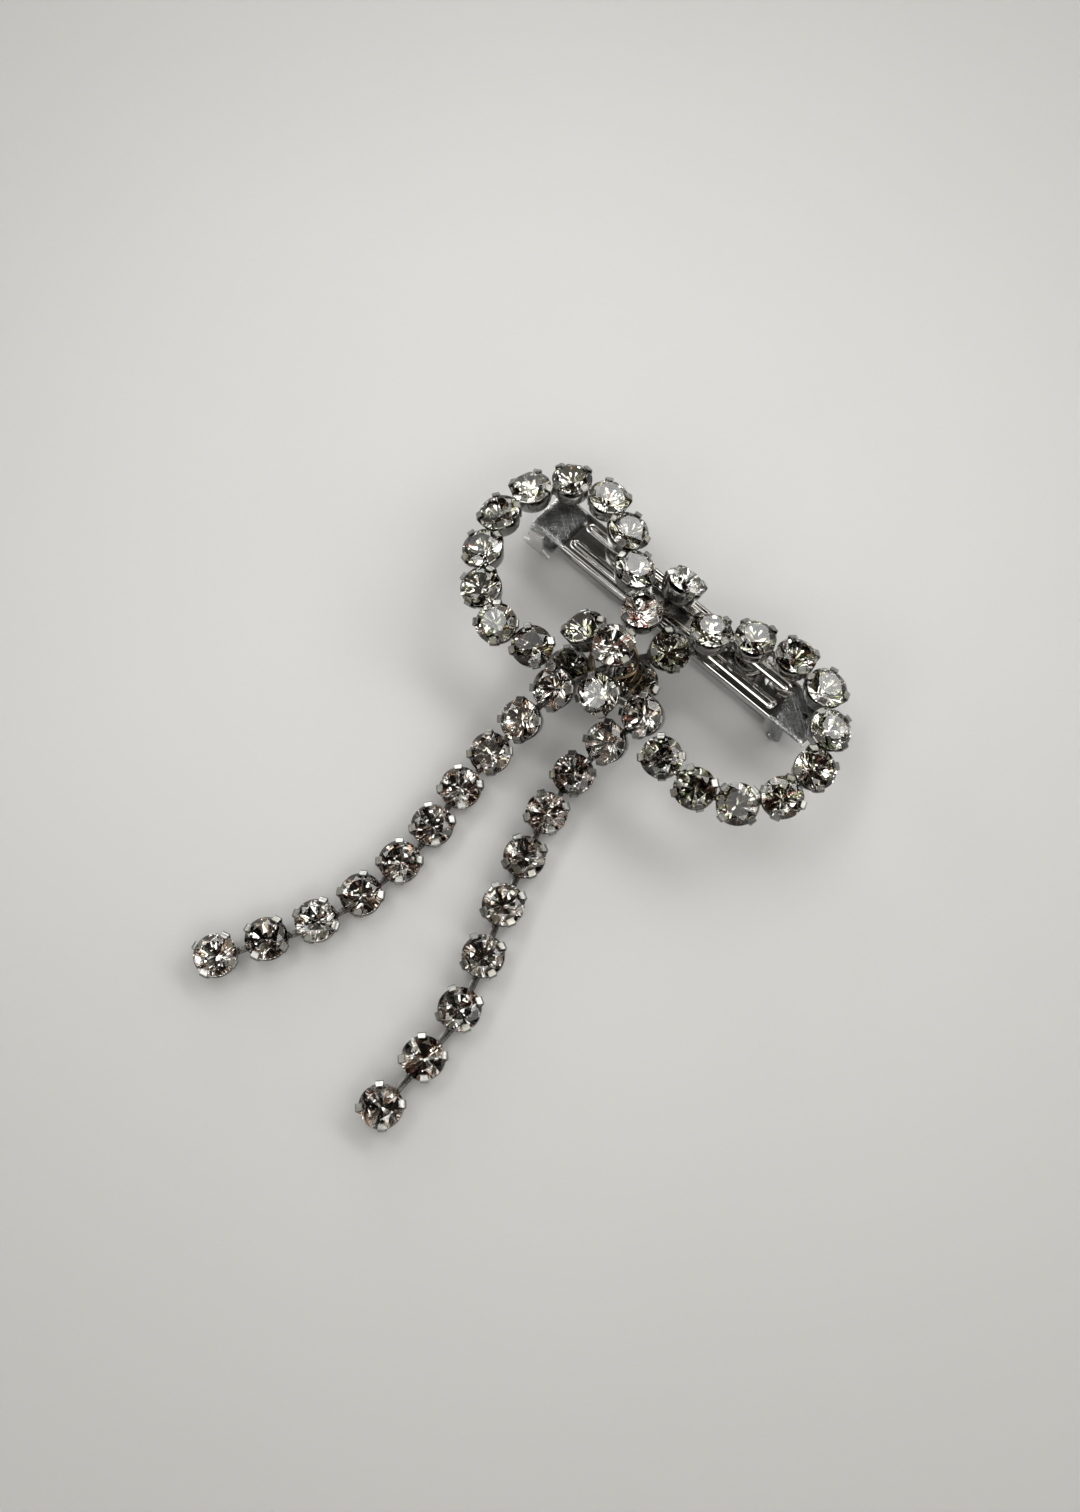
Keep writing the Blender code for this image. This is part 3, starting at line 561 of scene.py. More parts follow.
def cut_stone():
    """One stone as an object whose faces know their number and whether foil backs them."""
    shape = bmesh.new()
    backed, facet = tagged(shape, "second"), tagged(shape, "facet")
    share = math.cos(math.pi / MAINS)
    kite_run = (KITE_RADIUS * share - TABLE_RADIUS) / (CUT_RADIUS - TABLE_RADIUS)
    kite_z = TABLE_Z + (CROWN_Z - TABLE_Z) * kite_run
    half_z = CULET_Z + (GIRDLE_Z - CULET_Z) * HALVES_RADIUS * share / CUT_RADIUS
    table = [shape.verts.new(corner(TABLE_RADIUS, 4 * k, TABLE_Z)) for k in range(MAINS)]
    kites = [shape.verts.new(corner(KITE_RADIUS, 4 * k + 2, kite_z)) for k in range(MAINS)]
    upper = [shape.verts.new(corner(CUT_RADIUS, k, CROWN_Z)) for k in range(4 * MAINS)]
    lower = [shape.verts.new(corner(CUT_RADIUS, k, GIRDLE_Z)) for k in range(4 * MAINS)]
    halves = [shape.verts.new(corner(HALVES_RADIUS, 4 * k + 2, half_z)) for k in range(MAINS)]
    culet = shape.verts.new((0, 0, CULET_Z))
    fronts, backs = [table], []
    for k in range(MAINS):
        g = 4 * k
        after = (k + 1) % MAINS
        fronts.append([table[k], kites[k], table[after]])
        fronts.append([table[k], kites[k - 1], upper[g], kites[k]])
        fronts.append([kites[k], upper[g], upper[g + 1], upper[g + 2]])
        fronts.append([kites[k], upper[g + 2], upper[g + 3], upper[(g + 4) % len(upper)]])
        backs.append([culet, halves[k], lower[g]])
        backs.append([culet, lower[g], halves[k - 1]])
        backs.append([halves[k], lower[g + 2], lower[g + 1], lower[g]])
        backs.append([halves[k], lower[(g + 4) % len(lower)], lower[g + 3], lower[g + 2]])
    for k in range(len(upper)):
        after = (k + 1) % len(upper)
        fronts.append([lower[k], lower[after], upper[after], upper[k]])
    for is_back, group in ((0, fronts), (1, backs)):
        for number, corners in enumerate(group):
            face = shape.faces.new(corners)
            face[backed] = is_back
            is_half = is_back and number % PANELS_EACH_WAY >= HALVES_AFTER
            face[facet] = number + HALVES_FROM * is_half
    bmesh.ops.recalc_face_normals(shape, faces=shape.faces)
    return helper_object("cut_stone", shape)


def helper_object(name, shape, smooth_below=None):
    """A mesh to be placed many times. The object itself is removed at the end."""
    mesh = bpy.data.meshes.new(name)
    shape.to_mesh(mesh)
    shape.free()
    if smooth_below:
        mesh.shade_smooth()
        mesh.set_sharp_from_angle(angle=math.radians(smooth_below))
    made = bpy.data.objects.new(name, mesh)
    bpy.context.scene.collection.objects.link(made)
    HELPERS.append(made)
    return made


HELPERS = []
STONE = cut_stone()
print("cut stone of", len(STONE.data.polygons), "facets")

# %% [markdown]
# ## A pressed cup
# A cup starts as a flat blank with four broad claws. Pressing draws the middle into a bowl, which
# leaves a scalloped rim between the claws, and the claws are then bent in over the stone's edge. The
# bowl is turned ring by ring with a rim whose height follows a cosine, and a claw is a flat strip
# swept along its bend.

# %% Bowl
CUP_RADIUS, BASE_RADIUS, RIM_Z = 4.1 * MM, 3.3 * MM, 3.38 * MM
SCALLOP, SCALLOP_FULLNESS = 0.75 * MM, 0.7
TURN_STEPS = 48
RIM_RINGS = slice(5, 9)
CLAW_TURN = math.pi / 4
CLAWS = 4


def bowl():
    """The drawn bowl, open at the top, with a scalloped rim that is rubbed bright."""
    shape = bmesh.new()
    satin = tagged(shape, "second")
    outside = [(0, 0), (0.85, 0), (0.96, 0.012), (1, 0.06), (1, 0.35), (1, 0.7), (1, 0.96), (0.985, 1)]
    inside = [(0.93, 1), (0.915, 0.96), (0.915, 0.6), (0.9, 0.25), (0.8, 0.11), (0, 0.1)]
    rings = []
    for share, height in outside + inside:
        ring = []
        for step in range(TURN_STEPS if share else 1):
            angle = 2 * math.pi * step / TURN_STEPS
            between = 0.5 - 0.5 * math.cos(CLAWS * (angle - CLAW_TURN))
            dip = SCALLOP * between**SCALLOP_FULLNESS
            z = height * (RIM_Z - dip)
            radius = share * (BASE_RADIUS + (CUP_RADIUS - BASE_RADIUS) * z / RIM_Z)
            ring.append(shape.verts.new((radius * math.cos(angle), radius * math.sin(angle), z)))
        rings.append(ring)
    for low, high in zip(rings, rings[1:]):
        for step in range(TURN_STEPS):
            after = (step + 1) % TURN_STEPS
            corners = [low[step % len(low)], low[after % len(low)]]
            corners += [high[after % len(high)], high[step % len(high)]]
            face = shape.faces.new(list(dict.fromkeys(corners)))
            face[satin] = low in rings[RIM_RINGS]
    bmesh.ops.recalc_face_normals(shape, faces=shape.faces)
    return shape


# %% [markdown]
# The strip of the next link enters a tail's cup through a slot at +X. A Boolean cuts it from the
# bowl once, before the claws are added, and all the tail cups share the result.

# %% Slot
SLOT_HALF = 0.95 * MM
SLOT_LOW, SLOT_HIGH = 0.6 * MM, 2.2 * MM
SLOT_REACH, SLOT_INSET = 2 * MM, 0.6 * MM


def slotted(shape):
    """The bowl with the slot cut through its wall at +X."""
    base = helper_object("slotted_bowl", shape)
    cutter_shape = bmesh.new()
    bmesh.ops.create_cube(cutter_shape, size=1)
    size = Vector((SLOT_REACH, 2 * SLOT_HALF, SLOT_HIGH - SLOT_LOW))
    bmesh.ops.scale(cutter_shape, vec=size, verts=cutter_shape.verts)
    middle = Vector((CUP_RADIUS - SLOT_INSET, 0, (SLOT_LOW + SLOT_HIGH) / 2))
    bmesh.ops.translate(cutter_shape, vec=middle, verts=cutter_shape.verts)
    cut = base.modifiers.new("slot", "BOOLEAN")
    cut.operation = "DIFFERENCE"
    cut.object = helper_object("slot_cutter", cutter_shape)
    graph = bpy.context.evaluated_depsgraph_get()
    result = bmesh.new()
    result.from_object(base, graph)
    return result


# %% Claw
CLAW_WIDTH = 1.45 * MM
CLAW_SHEET = 0.28 * MM
CLAW_EDGE = 0.05 * MM
SHARP_EDGE = math.radians(50)
CLAW_LINE = [
    (3.66, 1.2), (3.95, 2.2), (4.18, 3.1), (4.32, 3.7), (4.36, 4.0),
    (4.28, 4.24), (4.08, 4.4), (3.8, 4.55), (3.5, 4.74), (3.2, 4.94),
]
CLAW_SHARES = [0.8, 1, 1, 1, 1, 1, 1, 1, 0.96, 0.84]


def claw():
    """One claw at +X: a flat strip, bent in over the stone, with clipped corners at its tip."""
    shape = bmesh.new()
    satin = tagged(shape, "second")
    line = [Vector((r, 0, z)) * MM for r, z in CLAW_LINE]
    rings = []
    for index, point in enumerate(line):
        along = line[min(index + 1, len(line) - 1)] - line[max(index - 1, 0)]
        out = Vector((along.z, 0, -along.x)).normalized() * CLAW_SHEET / 2
        half = Vector((0, CLAW_WIDTH * CLAW_SHARES[index] / 2, 0))
        places = [point + out + half, point + out - half, point - out - half, point - out + half]
        rings.append([shape.verts.new(place) for place in places])
    for low, high in zip(rings, rings[1:]):
        for k in range(4):
            shape.faces.new([low[k], low[(k + 1) % 4], high[(k + 1) % 4], high[k]])
    shape.faces.new(rings[0])
    shape.faces.new(rings[-1])
    bmesh.ops.recalc_face_normals(shape, faces=shape.faces)
    edges = [edge for edge in shape.edges if edge.calc_face_angle(0) > SHARP_EDGE]
    bmesh.ops.bevel(shape, geom=edges, offset=CLAW_EDGE, segments=1, profile=0.5, affect="EDGES")
    for face in shape.faces:
        face[satin] = 1
    return helper_object("claw", shape, smooth_below=35)


CLAW = claw()
print("claw of", len(CLAW.data.polygons), "faces")

# %% [markdown]
# ## Geometry Nodes: a ring of claws on a bowl
# Four claws at equal turns is a rule, so a tree makes it: a Mesh Line gives one point for each claw,
# its number gives its turn, Instance on Points puts them there, and Realize Instances makes them real
# faces.

# %% Tree: ring of claws
def output_of(tree, out, geometry, first, second):
    """Ends a tree: real faces, in the first material or in the second where faces are marked."""
    real = add(tree, "GeometryNodeRealizeInstances", {"Geometry": geometry}).outputs[0]
    whole = add(tree, "GeometryNodeSetMaterial", {"Geometry": real, "Material": first}).outputs[0]
    mark = add(tree, "GeometryNodeInputNamedAttribute", {"Name": "second"}, data_type="FLOAT").outputs[0]
    chosen = add(tree, "FunctionNodeCompare", {0: mark, 1: 0.5}, operation="GREATER_THAN").outputs[0]
    marked = add(
        tree,
        "GeometryNodeSetMaterial",
        {"Geometry": whole, "Selection": chosen, "Material": second},
    )
    tree.links.new(marked.outputs[0], out.inputs[0])
    return tree


def ring_tree():
    """Pieces at equal turns round Z, added to the modifier's own mesh."""
    tree, given, out = new_group(
        "ring_of_pieces",
        "GeometryNodeTree",
        [
            ("Geometry", "NodeSocketGeometry", None),
            ("Piece", "NodeSocketObject", None),
            ("Count", "NodeSocketInt", 4),
            ("First turn", "NodeSocketFloat", 0.0),
            ("First", "NodeSocketMaterial", None),
            ("Second", "NodeSocketMaterial", None),
        ],
        [("Geometry", "NodeSocketGeometry")],
    )
    points = add(tree, "GeometryNodeMeshLine", {"Count": given["Count"], "Offset": (0, 0, 0)})
    number = add(tree, "GeometryNodeInputIndex").outputs[0]
    step = maths(tree, "DIVIDE", 2 * math.pi, given["Count"])
    angle = maths(tree, "ADD", maths(tree, "MULTIPLY", number, step), given["First turn"])
    turn = add(tree, "ShaderNodeCombineXYZ", {"Z": angle}).outputs[0]
    piece = add(tree, "GeometryNodeObjectInfo", {"Object": given["Piece"]}).outputs["Geometry"]
    ring = add(
        tree,
        "GeometryNodeInstanceOnPoints",
        {"Points": points.outputs[0], "Instance": piece, "Rotation": turn},
    )
    joined = add(tree, "GeometryNodeJoinGeometry")
    tree.links.new(ring.outputs[0], joined.inputs[0])
    tree.links.new(given["Geometry"], joined.inputs[0])
    return output_of(tree, out, joined.outputs[0], given["First"], given["Second"])


def made_by(tree, start, name, values):
    """The plain mesh object that a tree makes from a starting mesh, with its inputs set by name."""
    source = bpy.data.objects.new(name, start)
    bpy.context.scene.collection.objects.link(source)
    modifier = source.modifiers.new("nodes", "NODES")
    modifier.node_group = tree
    for item in tree.interface.items_tree:
        if item.item_type == "SOCKET" and item.in_out == "INPUT" and item.name in values:
            modifier[item.identifier] = values[item.name]
    bpy.context.view_layer.update()
    graph = bpy.context.evaluated_depsgraph_get()
    source.data = bpy.data.meshes.new_from_object(source.evaluated_get(graph), depsgraph=graph)
    source.modifiers.clear()
    source.data.name = name
    return source


RING = ring_tree()


def cup_object(name, shape):
    """A bowl with its four claws, as a helper to be set on the chain."""
    mesh = bpy.data.meshes.new(name)
    shape.to_mesh(mesh)
    shape.free()
    mesh.shade_smooth()
    mesh.set_sharp_from_angle(angle=math.radians(40))
    values = {"Piece": CLAW, "Count": CLAWS, "First turn": CLAW_TURN}
    made = made_by(RING, mesh, name, {**values, "First": CUP_METAL, "Second": CLAW_METAL})
    HELPERS.append(made)
    return made


PLAIN_CUP = cup_object("plain_cup", bowl())
SLOTTED_CUP = cup_object("slotted_cup", slotted(bowl()))
print("cups of", len(PLAIN_CUP.data.polygons), "and", len(SLOTTED_CUP.data.polygons), "faces")

# %% [markdown]
# ## Geometry Nodes: a beaded strip
# The strips between cups carry two rows of tiny raised beads. A tree lays beads of a given size along
# two lines on a bar, so that any strip length takes as many as fit.

# %% Tree: beaded strip
STRIP_WIDTH, STRIP_SHEET = 1.3 * MM, 0.42 * MM
BEAD_RADIUS, BEAD_PITCH = 0.24 * MM, 0.5 * MM
BEAD_ROW, BEAD_SINK = 0.34 * MM, 0.06 * MM
STRIP_EDGE = 0.07 * MM


def strip_tree():
    """Two rows of beads along X, added to the bar that the modifier is on."""
    tree, given, out = new_group(
        "beaded_strip",
        "GeometryNodeTree",
        [
            ("Geometry", "NodeSocketGeometry", None),
            ("Start", "NodeSocketFloat", 0.0),
            ("Length", "NodeSocketFloat", 0.004),
            ("Pitch", "NodeSocketFloat", 0.0005),
            ("Row offset", "NodeSocketFloat", 0.0004),
            ("Bead radius", "NodeSocketFloat", 0.0002),
            ("Lift", "NodeSocketFloat", 0.0002),
            ("First", "NodeSocketMaterial", None),
            ("Second", "NodeSocketMaterial", None),
        ],
        [("Geometry", "NodeSocketGeometry")],
    )
    count = maths(tree, "FLOOR", maths(tree, "DIVIDE", given["Length"], given["Pitch"]))
    bead = add(tree, "GeometryNodeMeshIcoSphere", {"Radius": given["Bead radius"], "Subdivisions": 1})
    smooth = add(tree, "GeometryNodeSetShadeSmooth", {"Geometry": bead.outputs[0]}).outputs[0]
    step = add(tree, "ShaderNodeCombineXYZ", {"X": given["Pitch"]}).outputs[0]
    joined = add(tree, "GeometryNodeJoinGeometry")
    for side in (-1, 1):
        row_y = maths(tree, "MULTIPLY", given["Row offset"], float(side))
        start = add(tree, "ShaderNodeCombineXYZ", {"X": given["Start"], "Y": row_y, "Z": given["Lift"]})
        row = add(
            tree,
            "GeometryNodeMeshLine",
            {"Count": count, "Start Location": start.outputs[0], "Offset": step},
        )
        beads = add(
            tree, "GeometryNodeInstanceOnPoints", {"Points": row.outputs[0], "Instance": smooth}
        )
        tree.links.new(beads.outputs[0], joined.inputs[0])
    marked = add(
        tree,
        "GeometryNodeStoreNamedAttribute",
        {
            "Geometry": add(tree, "GeometryNodeRealizeInstances", {0: joined.outputs[0]}).outputs[0],
            "Name": "second",
            "Value": 0.0,
        },
        data_type="FLOAT",
        domain="FACE",
    )
    whole = add(tree, "GeometryNodeJoinGeometry")
    tree.links.new(marked.outputs[0], whole.inputs[0])
    tree.links.new(given["Geometry"], whole.inputs[0])
    return output_of(tree, out, whole.outputs[0], given["First"], given["Second"])


STRIP = strip_tree()


def bar_mesh(name, start, end):
    """A flat bar along X with rubbed edges, centred on Y and Z."""
    shape = bmesh.new()
    second = tagged(shape, "second")
    bmesh.ops.create_cube(shape, size=1)
    bmesh.ops.scale(shape, vec=(end - start, STRIP_WIDTH, STRIP_SHEET), verts=shape.verts)
    bmesh.ops.translate(shape, vec=((start + end) / 2, 0, 0), verts=shape.verts)
    bmesh.ops.bevel(
        shape, geom=shape.edges[:], offset=STRIP_EDGE, segments=2, profile=0.5, affect="EDGES"
    )
    for face in shape.faces:
        face[second] = 1
    mesh = bpy.data.meshes.new(name)
    shape.to_mesh(mesh)
    shape.free()
    mesh.shade_smooth()
    mesh.set_sharp_from_angle(angle=math.radians(40))
    return mesh


def beaded_strip(name, start, end):
    """A strip between two places on X, with its rows of beads on top."""
    values = {
        "Start": start + BEAD_PITCH / 2,
        "Length": end - start,
        "Pitch": BEAD_PITCH,
        "Row offset": BEAD_ROW,
        "Bead radius": BEAD_RADIUS,
        "Lift": STRIP_SHEET / 2 - BEAD_SINK,
        "First": CUP_METAL,
        "Second": STRIP_METAL,
    }
    made = made_by(STRIP, bar_mesh(name, start, end), name, values)
    HELPERS.append(made)
    return made


# %% [markdown]
# ## Geometry Nodes: set pieces on frames
# One tree sets any helper on any list of frames. Each frame is a point with its turn stored on it,
# and with a number of its own, which the foil reads so that no two stones look alike.

# %% Tree: set on frames
def set_tree():
    """The piece on every point of the modifier's mesh, turned as the point says."""
    tree, given, out = new_group(
        "set_on_frames",
        "GeometryNodeTree",
        [
            ("Geometry", "NodeSocketGeometry", None),
            ("Piece", "NodeSocketObject", None),
            ("First", "NodeSocketMaterial", None),
            ("Second", "NodeSocketMaterial", None),
        ],
        [("Geometry", "NodeSocketGeometry")],
    )
    turn = add(tree, "GeometryNodeInputNamedAttribute", {"Name": "turn"}, data_type="FLOAT_VECTOR")
    rotation = add(tree, "FunctionNodeEulerToRotation", {0: turn.outputs[0]}).outputs[0]
    piece = add(tree, "GeometryNodeObjectInfo", {"Object": given["Piece"]}).outputs["Geometry"]
    points = add(tree, "GeometryNodeMeshToPoints", {"Mesh": given["Geometry"]}).outputs[0]
    placed = add(
        tree,
        "GeometryNodeInstanceOnPoints",
        {"Points": points, "Instance": piece, "Rotation": rotation},
    )
    return output_of(tree, out, placed.outputs[0], given["First"], given["Second"])


SET = set_tree()
SEED = 7
STONE_NUMBERS = 40
numbers = random.Random(SEED)


def set_on(name, frames, piece, first, second):
    """The piece set on each frame, as one plain mesh."""
    start = bpy.data.meshes.new(name)
    start.from_pydata([matrix.translation for matrix in frames], [], [])
    turn = start.attributes.new("turn", "FLOAT_VECTOR", "POINT")
    turn.data.foreach_set("vector", [angle for matrix in frames for angle in matrix.to_euler()])
    stone = start.attributes.new("stone", "FLOAT", "POINT")
    stone.data.foreach_set("value", [numbers.random() * STONE_NUMBERS for _ in frames])
    return made_by(SET, start, name, {"Piece": piece, "First": first, "Second": second})


def joined(name, pieces):
    """Several plain pieces as one object."""
    shape = bmesh.new()
    materials = []
    for piece in pieces:
        for material in piece.data.materials:
            if material not in materials:
                materials.append(material)
    mesh = bpy.data.meshes.new(name)
    for material in materials:
        mesh.materials.append(material)
    for piece in pieces:
        before = len(shape.faces)
        shape.from_mesh(piece.data)
        shape.faces.ensure_lookup_table()
        places = [materials.index(material) for material in piece.data.materials]
        for face in shape.faces[before:]:
            face.material_index = places[face.material_index]
    shape.to_mesh(mesh)
    shape.free()
    for piece in pieces:
        bpy.data.objects.remove(piece)
    made = bpy.data.objects.new(name, mesh)
    bpy.context.scene.collection.objects.link(made)
    return made


def finished(piece, body, slot, *nodes):
    """The piece rides on its body and stands for its frame solids. Its slot, the finish's name, is not
    used.
    """
    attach(piece, body)
    if nodes:
        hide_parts(*nodes)
    return piece


ROOT = "barrette_and_bow"

# %% [markdown]
# ## The bow's loops
# Each loop is a ring of cup chain, ten cups soldered stiff. The stones are dropped into the cups and
# the claws closed on them, so stones and cups stay separate pieces here.

# %% Loops
LINK_REACH = 3.38 * MM
LINK_START, LINK_SPARE = -0.4 * MM, 0.2 * MM


def link_frame(one, other):
    """The frame of a strip from one cup's wall to the next, and the strip's length."""
    start, end = (matrix @ Vector((0, 0, STRIP_HEIGHT)) for matrix in (one, other))
    heading = (end - start).normalized()
    normal = one.to_3x3() @ UP + other.to_3x3() @ UP
    y_axis = normal.cross(heading).normalized()
    turn = Matrix((heading, y_axis, heading.cross(y_axis))).transposed().to_4x4()
    return Matrix.Translation(start + heading * LINK_REACH) @ turn, (end - start).length - 2 * LINK_REACH


for side, frames in LOOP_FRAMES.items():
    stones = set_on(f"{side}_loop_crystals", frames, STONE, CRYSTAL, LOOP_FOIL)
    finished(stones, ROOT, "crystal", f"{side}_loop_stones")
    cups = set_on("cups", frames, PLAIN_CUP, CUP_METAL, CLAW_METAL)
    links = [link_frame(one, other) for one, other in zip(frames, frames[1:])]
    longest = max(length for _, length in links)
    strip = beaded_strip("loop_strip", LINK_START, longest + LINK_SPARE)
    strips = set_on("strips", [matrix for matrix, _ in links], strip, CUP_METAL, STRIP_METAL)
    finished(joined(f"{side}_loop_cups", [cups, strips]), ROOT, "cup_metal", f"{side}_loop_settings")
    print(side, "loop:", len(frames), "stones,", len(links), "strips")

# %% [markdown]
# ## The tails
# Nine links hang one from another. Each link is its own body, so its cup, its strip and its stone
# are made apart from the others, and each strip reaches back through the slot of the cup before.

# %% Tails
STRIP_INSIDE = 0.75 * MM

for side, (frames, hinges) in TAILS.items():
    for number, (matrix, hinge) in enumerate(zip(frames[1:], hinges), 1):
        body = f"tail_{side}_{number}"
        stone = set_on(f"{body}_crystal", [matrix], STONE, CRYSTAL, TAIL_FOIL)
        finished(stone, body, "crystal", f"tail_{side}_stone_{number}")
        middle = matrix @ Vector((0, 0, STRIP_HEIGHT))
        reach = (middle - hinge).length
        strip = beaded_strip("tail_strip", -reach - STRIP_INSIDE, -LINK_REACH)
        cup = set_on("cup", [matrix], SLOTTED_CUP, CUP_METAL, CLAW_METAL)
        level = matrix @ Matrix.Translation((0, 0, STRIP_HEIGHT))
        bar = set_on("bar", [level], strip, CUP_METAL, STRIP_METAL)
        piece = joined(f"{body}_cup", [cup, bar])
        finished(piece, body, "cup_metal", f"tail_{side}_setting_{number}")
    print(side, "tail:", len(hinges), "links")

# %% [markdown]
# ## The knot
# A rosette of single cups sits round one raised cup on a post, with both tails' anchor cups below
# it. Short dark bars tie each cup to the post, where solder would be. Turns of thin wire bind the
# middle, and their dark colour is painted shade, so that the gaps between the stones show dark. Each
# turn is a small ring swept round a large one that waves and leans a little.

# %% Knot
STEEPEST = 0.9
POST_RADIUS, POST_STEPS = 0.8 * MM, 16
WIRE_RADIUS, WIRE_TURNS, WIRE_WAVE = 0.24 * MM, 9, 0.05
WIRE_SHIFT = Vector((0.4, 0.2, 0)) * MM
WIRE_TOP, WIRE_FALL = 0.78, 0.5
WIRE_INNER, WIRE_SPREAD = 4.2, 1.5
WIRE_LEAN, WIRE_STEP = (4, 20), 2.4


def tie(name, start, end):
    """A short bar between two places, as a plain piece."""
    heading = (end - start).normalized()
    side = UP if abs(heading.z) < STEEPEST else Vector((1, 0, 0))
    y_axis = side.cross(heading).normalized()
    turn = Matrix((heading, y_axis, heading.cross(y_axis))).transposed().to_4x4()
    bar = bpy.data.objects.new(name, bar_mesh(name, 0, (end - start).length))
    bpy.context.scene.collection.objects.link(bar)
    HELPERS.append(bar)
    return set_on(name, [Matrix.Translation(start) @ turn], bar, CUP_METAL, STRIP_METAL)


def post(top, foot):
    """The round post under the raised cup, waisted between two collars."""
    shape = bmesh.new()
    tagged(shape, "second")
    height = top.z - foot.z
    profile = [(0, 0), (1.3, 0), (1.4, 0.03), (1.0, 0.1), (0.9, 0.5), (1.0, 0.9), (1.4, 0.97), (0, 1)]
    rings = []
    for share, level in profile:
        ring = []
        for step in range(POST_STEPS if share else 1):
            angle = 2 * math.pi * step / POST_STEPS
            radius = share * POST_RADIUS
            x, y = top.x + radius * math.cos(angle), top.y + radius * math.sin(angle)
            ring.append(shape.verts.new((x, y, foot.z + level * height)))
        rings.append(ring)
    for low, high in zip(rings, rings[1:]):
        for step in range(POST_STEPS):
            after = (step + 1) % POST_STEPS
            corners = [low[step % len(low)], low[after % len(low)]]
            corners += [high[after % len(high)], high[step % len(high)]]
            shape.faces.new(list(dict.fromkeys(corners)))
    bmesh.ops.recalc_face_normals(shape, faces=shape.faces)
    made = helper_object("post", shape, smooth_below=40)
    HELPERS.remove(made)
    made.data.materials.append(CUP_METAL)
    return made


def binding_wire(name, centre, radius, tilt, way):
    """One turn of round wire about the knot, leaning by tilt towards way."""
    shape = bmesh.new()
    tagged(shape, "second")
    around, section = 40, 6
    lean = Matrix.Rotation(way, 3, "Z") @ Matrix.Rotation(tilt, 3, "Y")
    rings = []
    for step in range(around):
        angle = 2 * math.pi * step / around
        out = Vector((math.cos(angle), math.sin(angle), 0))
        wave = 1 + WIRE_WAVE * math.sin(3 * angle + way)
        ring = []
        for part in range(section):
            turn = 2 * math.pi * part / section
            reach = radius * wave + WIRE_RADIUS * math.cos(turn)
            place = out * reach + UP * WIRE_RADIUS * math.sin(turn)
            ring.append(shape.verts.new(centre + lean @ place))
        rings.append(ring)
    for index, ring in enumerate(rings):
        after = rings[(index + 1) % around]
        for part in range(section):
            other = (part + 1) % section
            shape.faces.new([ring[part], ring[other], after[other], after[part]])
    bmesh.ops.recalc_face_normals(shape, faces=shape.faces)
    made = helper_object(name, shape, smooth_below=80)
    HELPERS.remove(made)
    made.data.materials.append(WIRE_METAL_PAINTED_SHADE)
    return made


anchors = [TAILS[side][0][0] for side in ("left", "right")]
for name, matrix in KNOT_FRAMES.items():
    back = CENTRE_FOIL if name in ("centre", "top") else LOOP_FOIL
    stone = set_on(f"knot_crystal_{name}", [matrix], STONE, CRYSTAL, back)
    finished(stone, ROOT, "crystal", f"knot_stone_{name}")
for side, matrix in zip(("left", "right"), anchors):
    stone = set_on(f"knot_crystal_{side}_anchor", [matrix], STONE, CRYSTAL, TAIL_FOIL)
    finished(stone, ROOT, "crystal", f"knot_stone_{side}_anchor")
knot_cups = set_on("knot_cups", list(KNOT_FRAMES.values()), PLAIN_CUP, CUP_METAL, CLAW_METAL)
anchor_cups = set_on("anchor_cups", anchors, SLOTTED_CUP, CUP_METAL, CLAW_METAL)
places = {name: matrix.translation for name, matrix in KNOT_FRAMES.items()}
top, foot = places["centre"], places["lower_left"]
ties = []
for name in ("top", "upper_left", "lower_left", "front", "lower_right", "right"):
    end = places[name]
    ties.append(tie(f"tie_{name}", Vector((top.x, top.y, end.z)), end))
left_anchor, right_anchor = (matrix.translation for matrix in anchors)
ties.append(tie("tie_left", Vector((top.x, top.y, left_anchor.z)), left_anchor))
ties.append(tie("tie_right", places["front"], right_anchor))
ties.append(tie("tie_back", places["top"], places["back"]))
wires = []
for turn in range(WIRE_TURNS):
    share = turn / (WIRE_TURNS - 1)
    centre = Vector((top.x, top.y, top.z * (WIRE_TOP - WIRE_FALL * share))) + WIRE_SHIFT
    radius = (WIRE_INNER + WIRE_SPREAD * share) * MM
    lean = math.radians(numbers.uniform(*WIRE_LEAN))
    wires.append(binding_wire(f"wire_{turn}", centre, radius, lean, turn * WIRE_STEP))
knot = joined("knot_cups_and_ties", [knot_cups, anchor_cups, post(top, foot), *ties, *wires])
finished(knot, ROOT, "cup_metal", "knot_settings")
counts = (len(KNOT_FRAMES), "cups,", len(anchors), "anchors,", len(ties), "ties,", len(wires), "wires")
print("knot:", *counts)

# %% [markdown]
# ## The barrette's top plate
# The plate is one pressed sheet: two round-ended ribs raised along it, its long edges turned down as
# flanges, its ends folded down, and lugs at the hinge. It is made as a sheet too. A grid of points
# runs along the plate and, across it, from one flange's edge over the top to the other's. The ribs
# are a height over the top, and the flange's depth is a formula of the place along the plate.

# %% Top plate
plate_low, plate_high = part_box("top_plate")
HALF_LENGTH, HALF_WIDTH = plate_high.x, plate_high.y
pin_low, pin_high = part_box("hinge_pin")
PIN_X = (pin_low.x + pin_high.x) / 2
RIB_HEIGHT, RIB_WIDTH, RIB_Y, RIB_REACH = 0.5 * MM, 1.9 * MM, 2.35 * MM, 25.5 * MM
PLATE_TOP = plate_high.z - RIB_HEIGHT
RIB_SHOULDER = 0.5 * MM
PLATE_SHEET = 0.55 * MM
BEND = 0.75 * MM
PAD_START, FOLD_START = RIB_REACH + 1.2 * MM, HALF_LENGTH - BEND - 0.5 * MM
FLANGE_START, FLANGE_RUN = -HALF_LENGTH + 10.5 * MM, 0.9 * MM
FLANGE_DROP, EDGE_DROP, END_DROP = 1.6 * MM, 0.6 * MM, 1.4 * MM
LUG_HALF = 2.1 * MM
LUG_ROUND, LUG_STRAIGHT = 0.62, 0.45


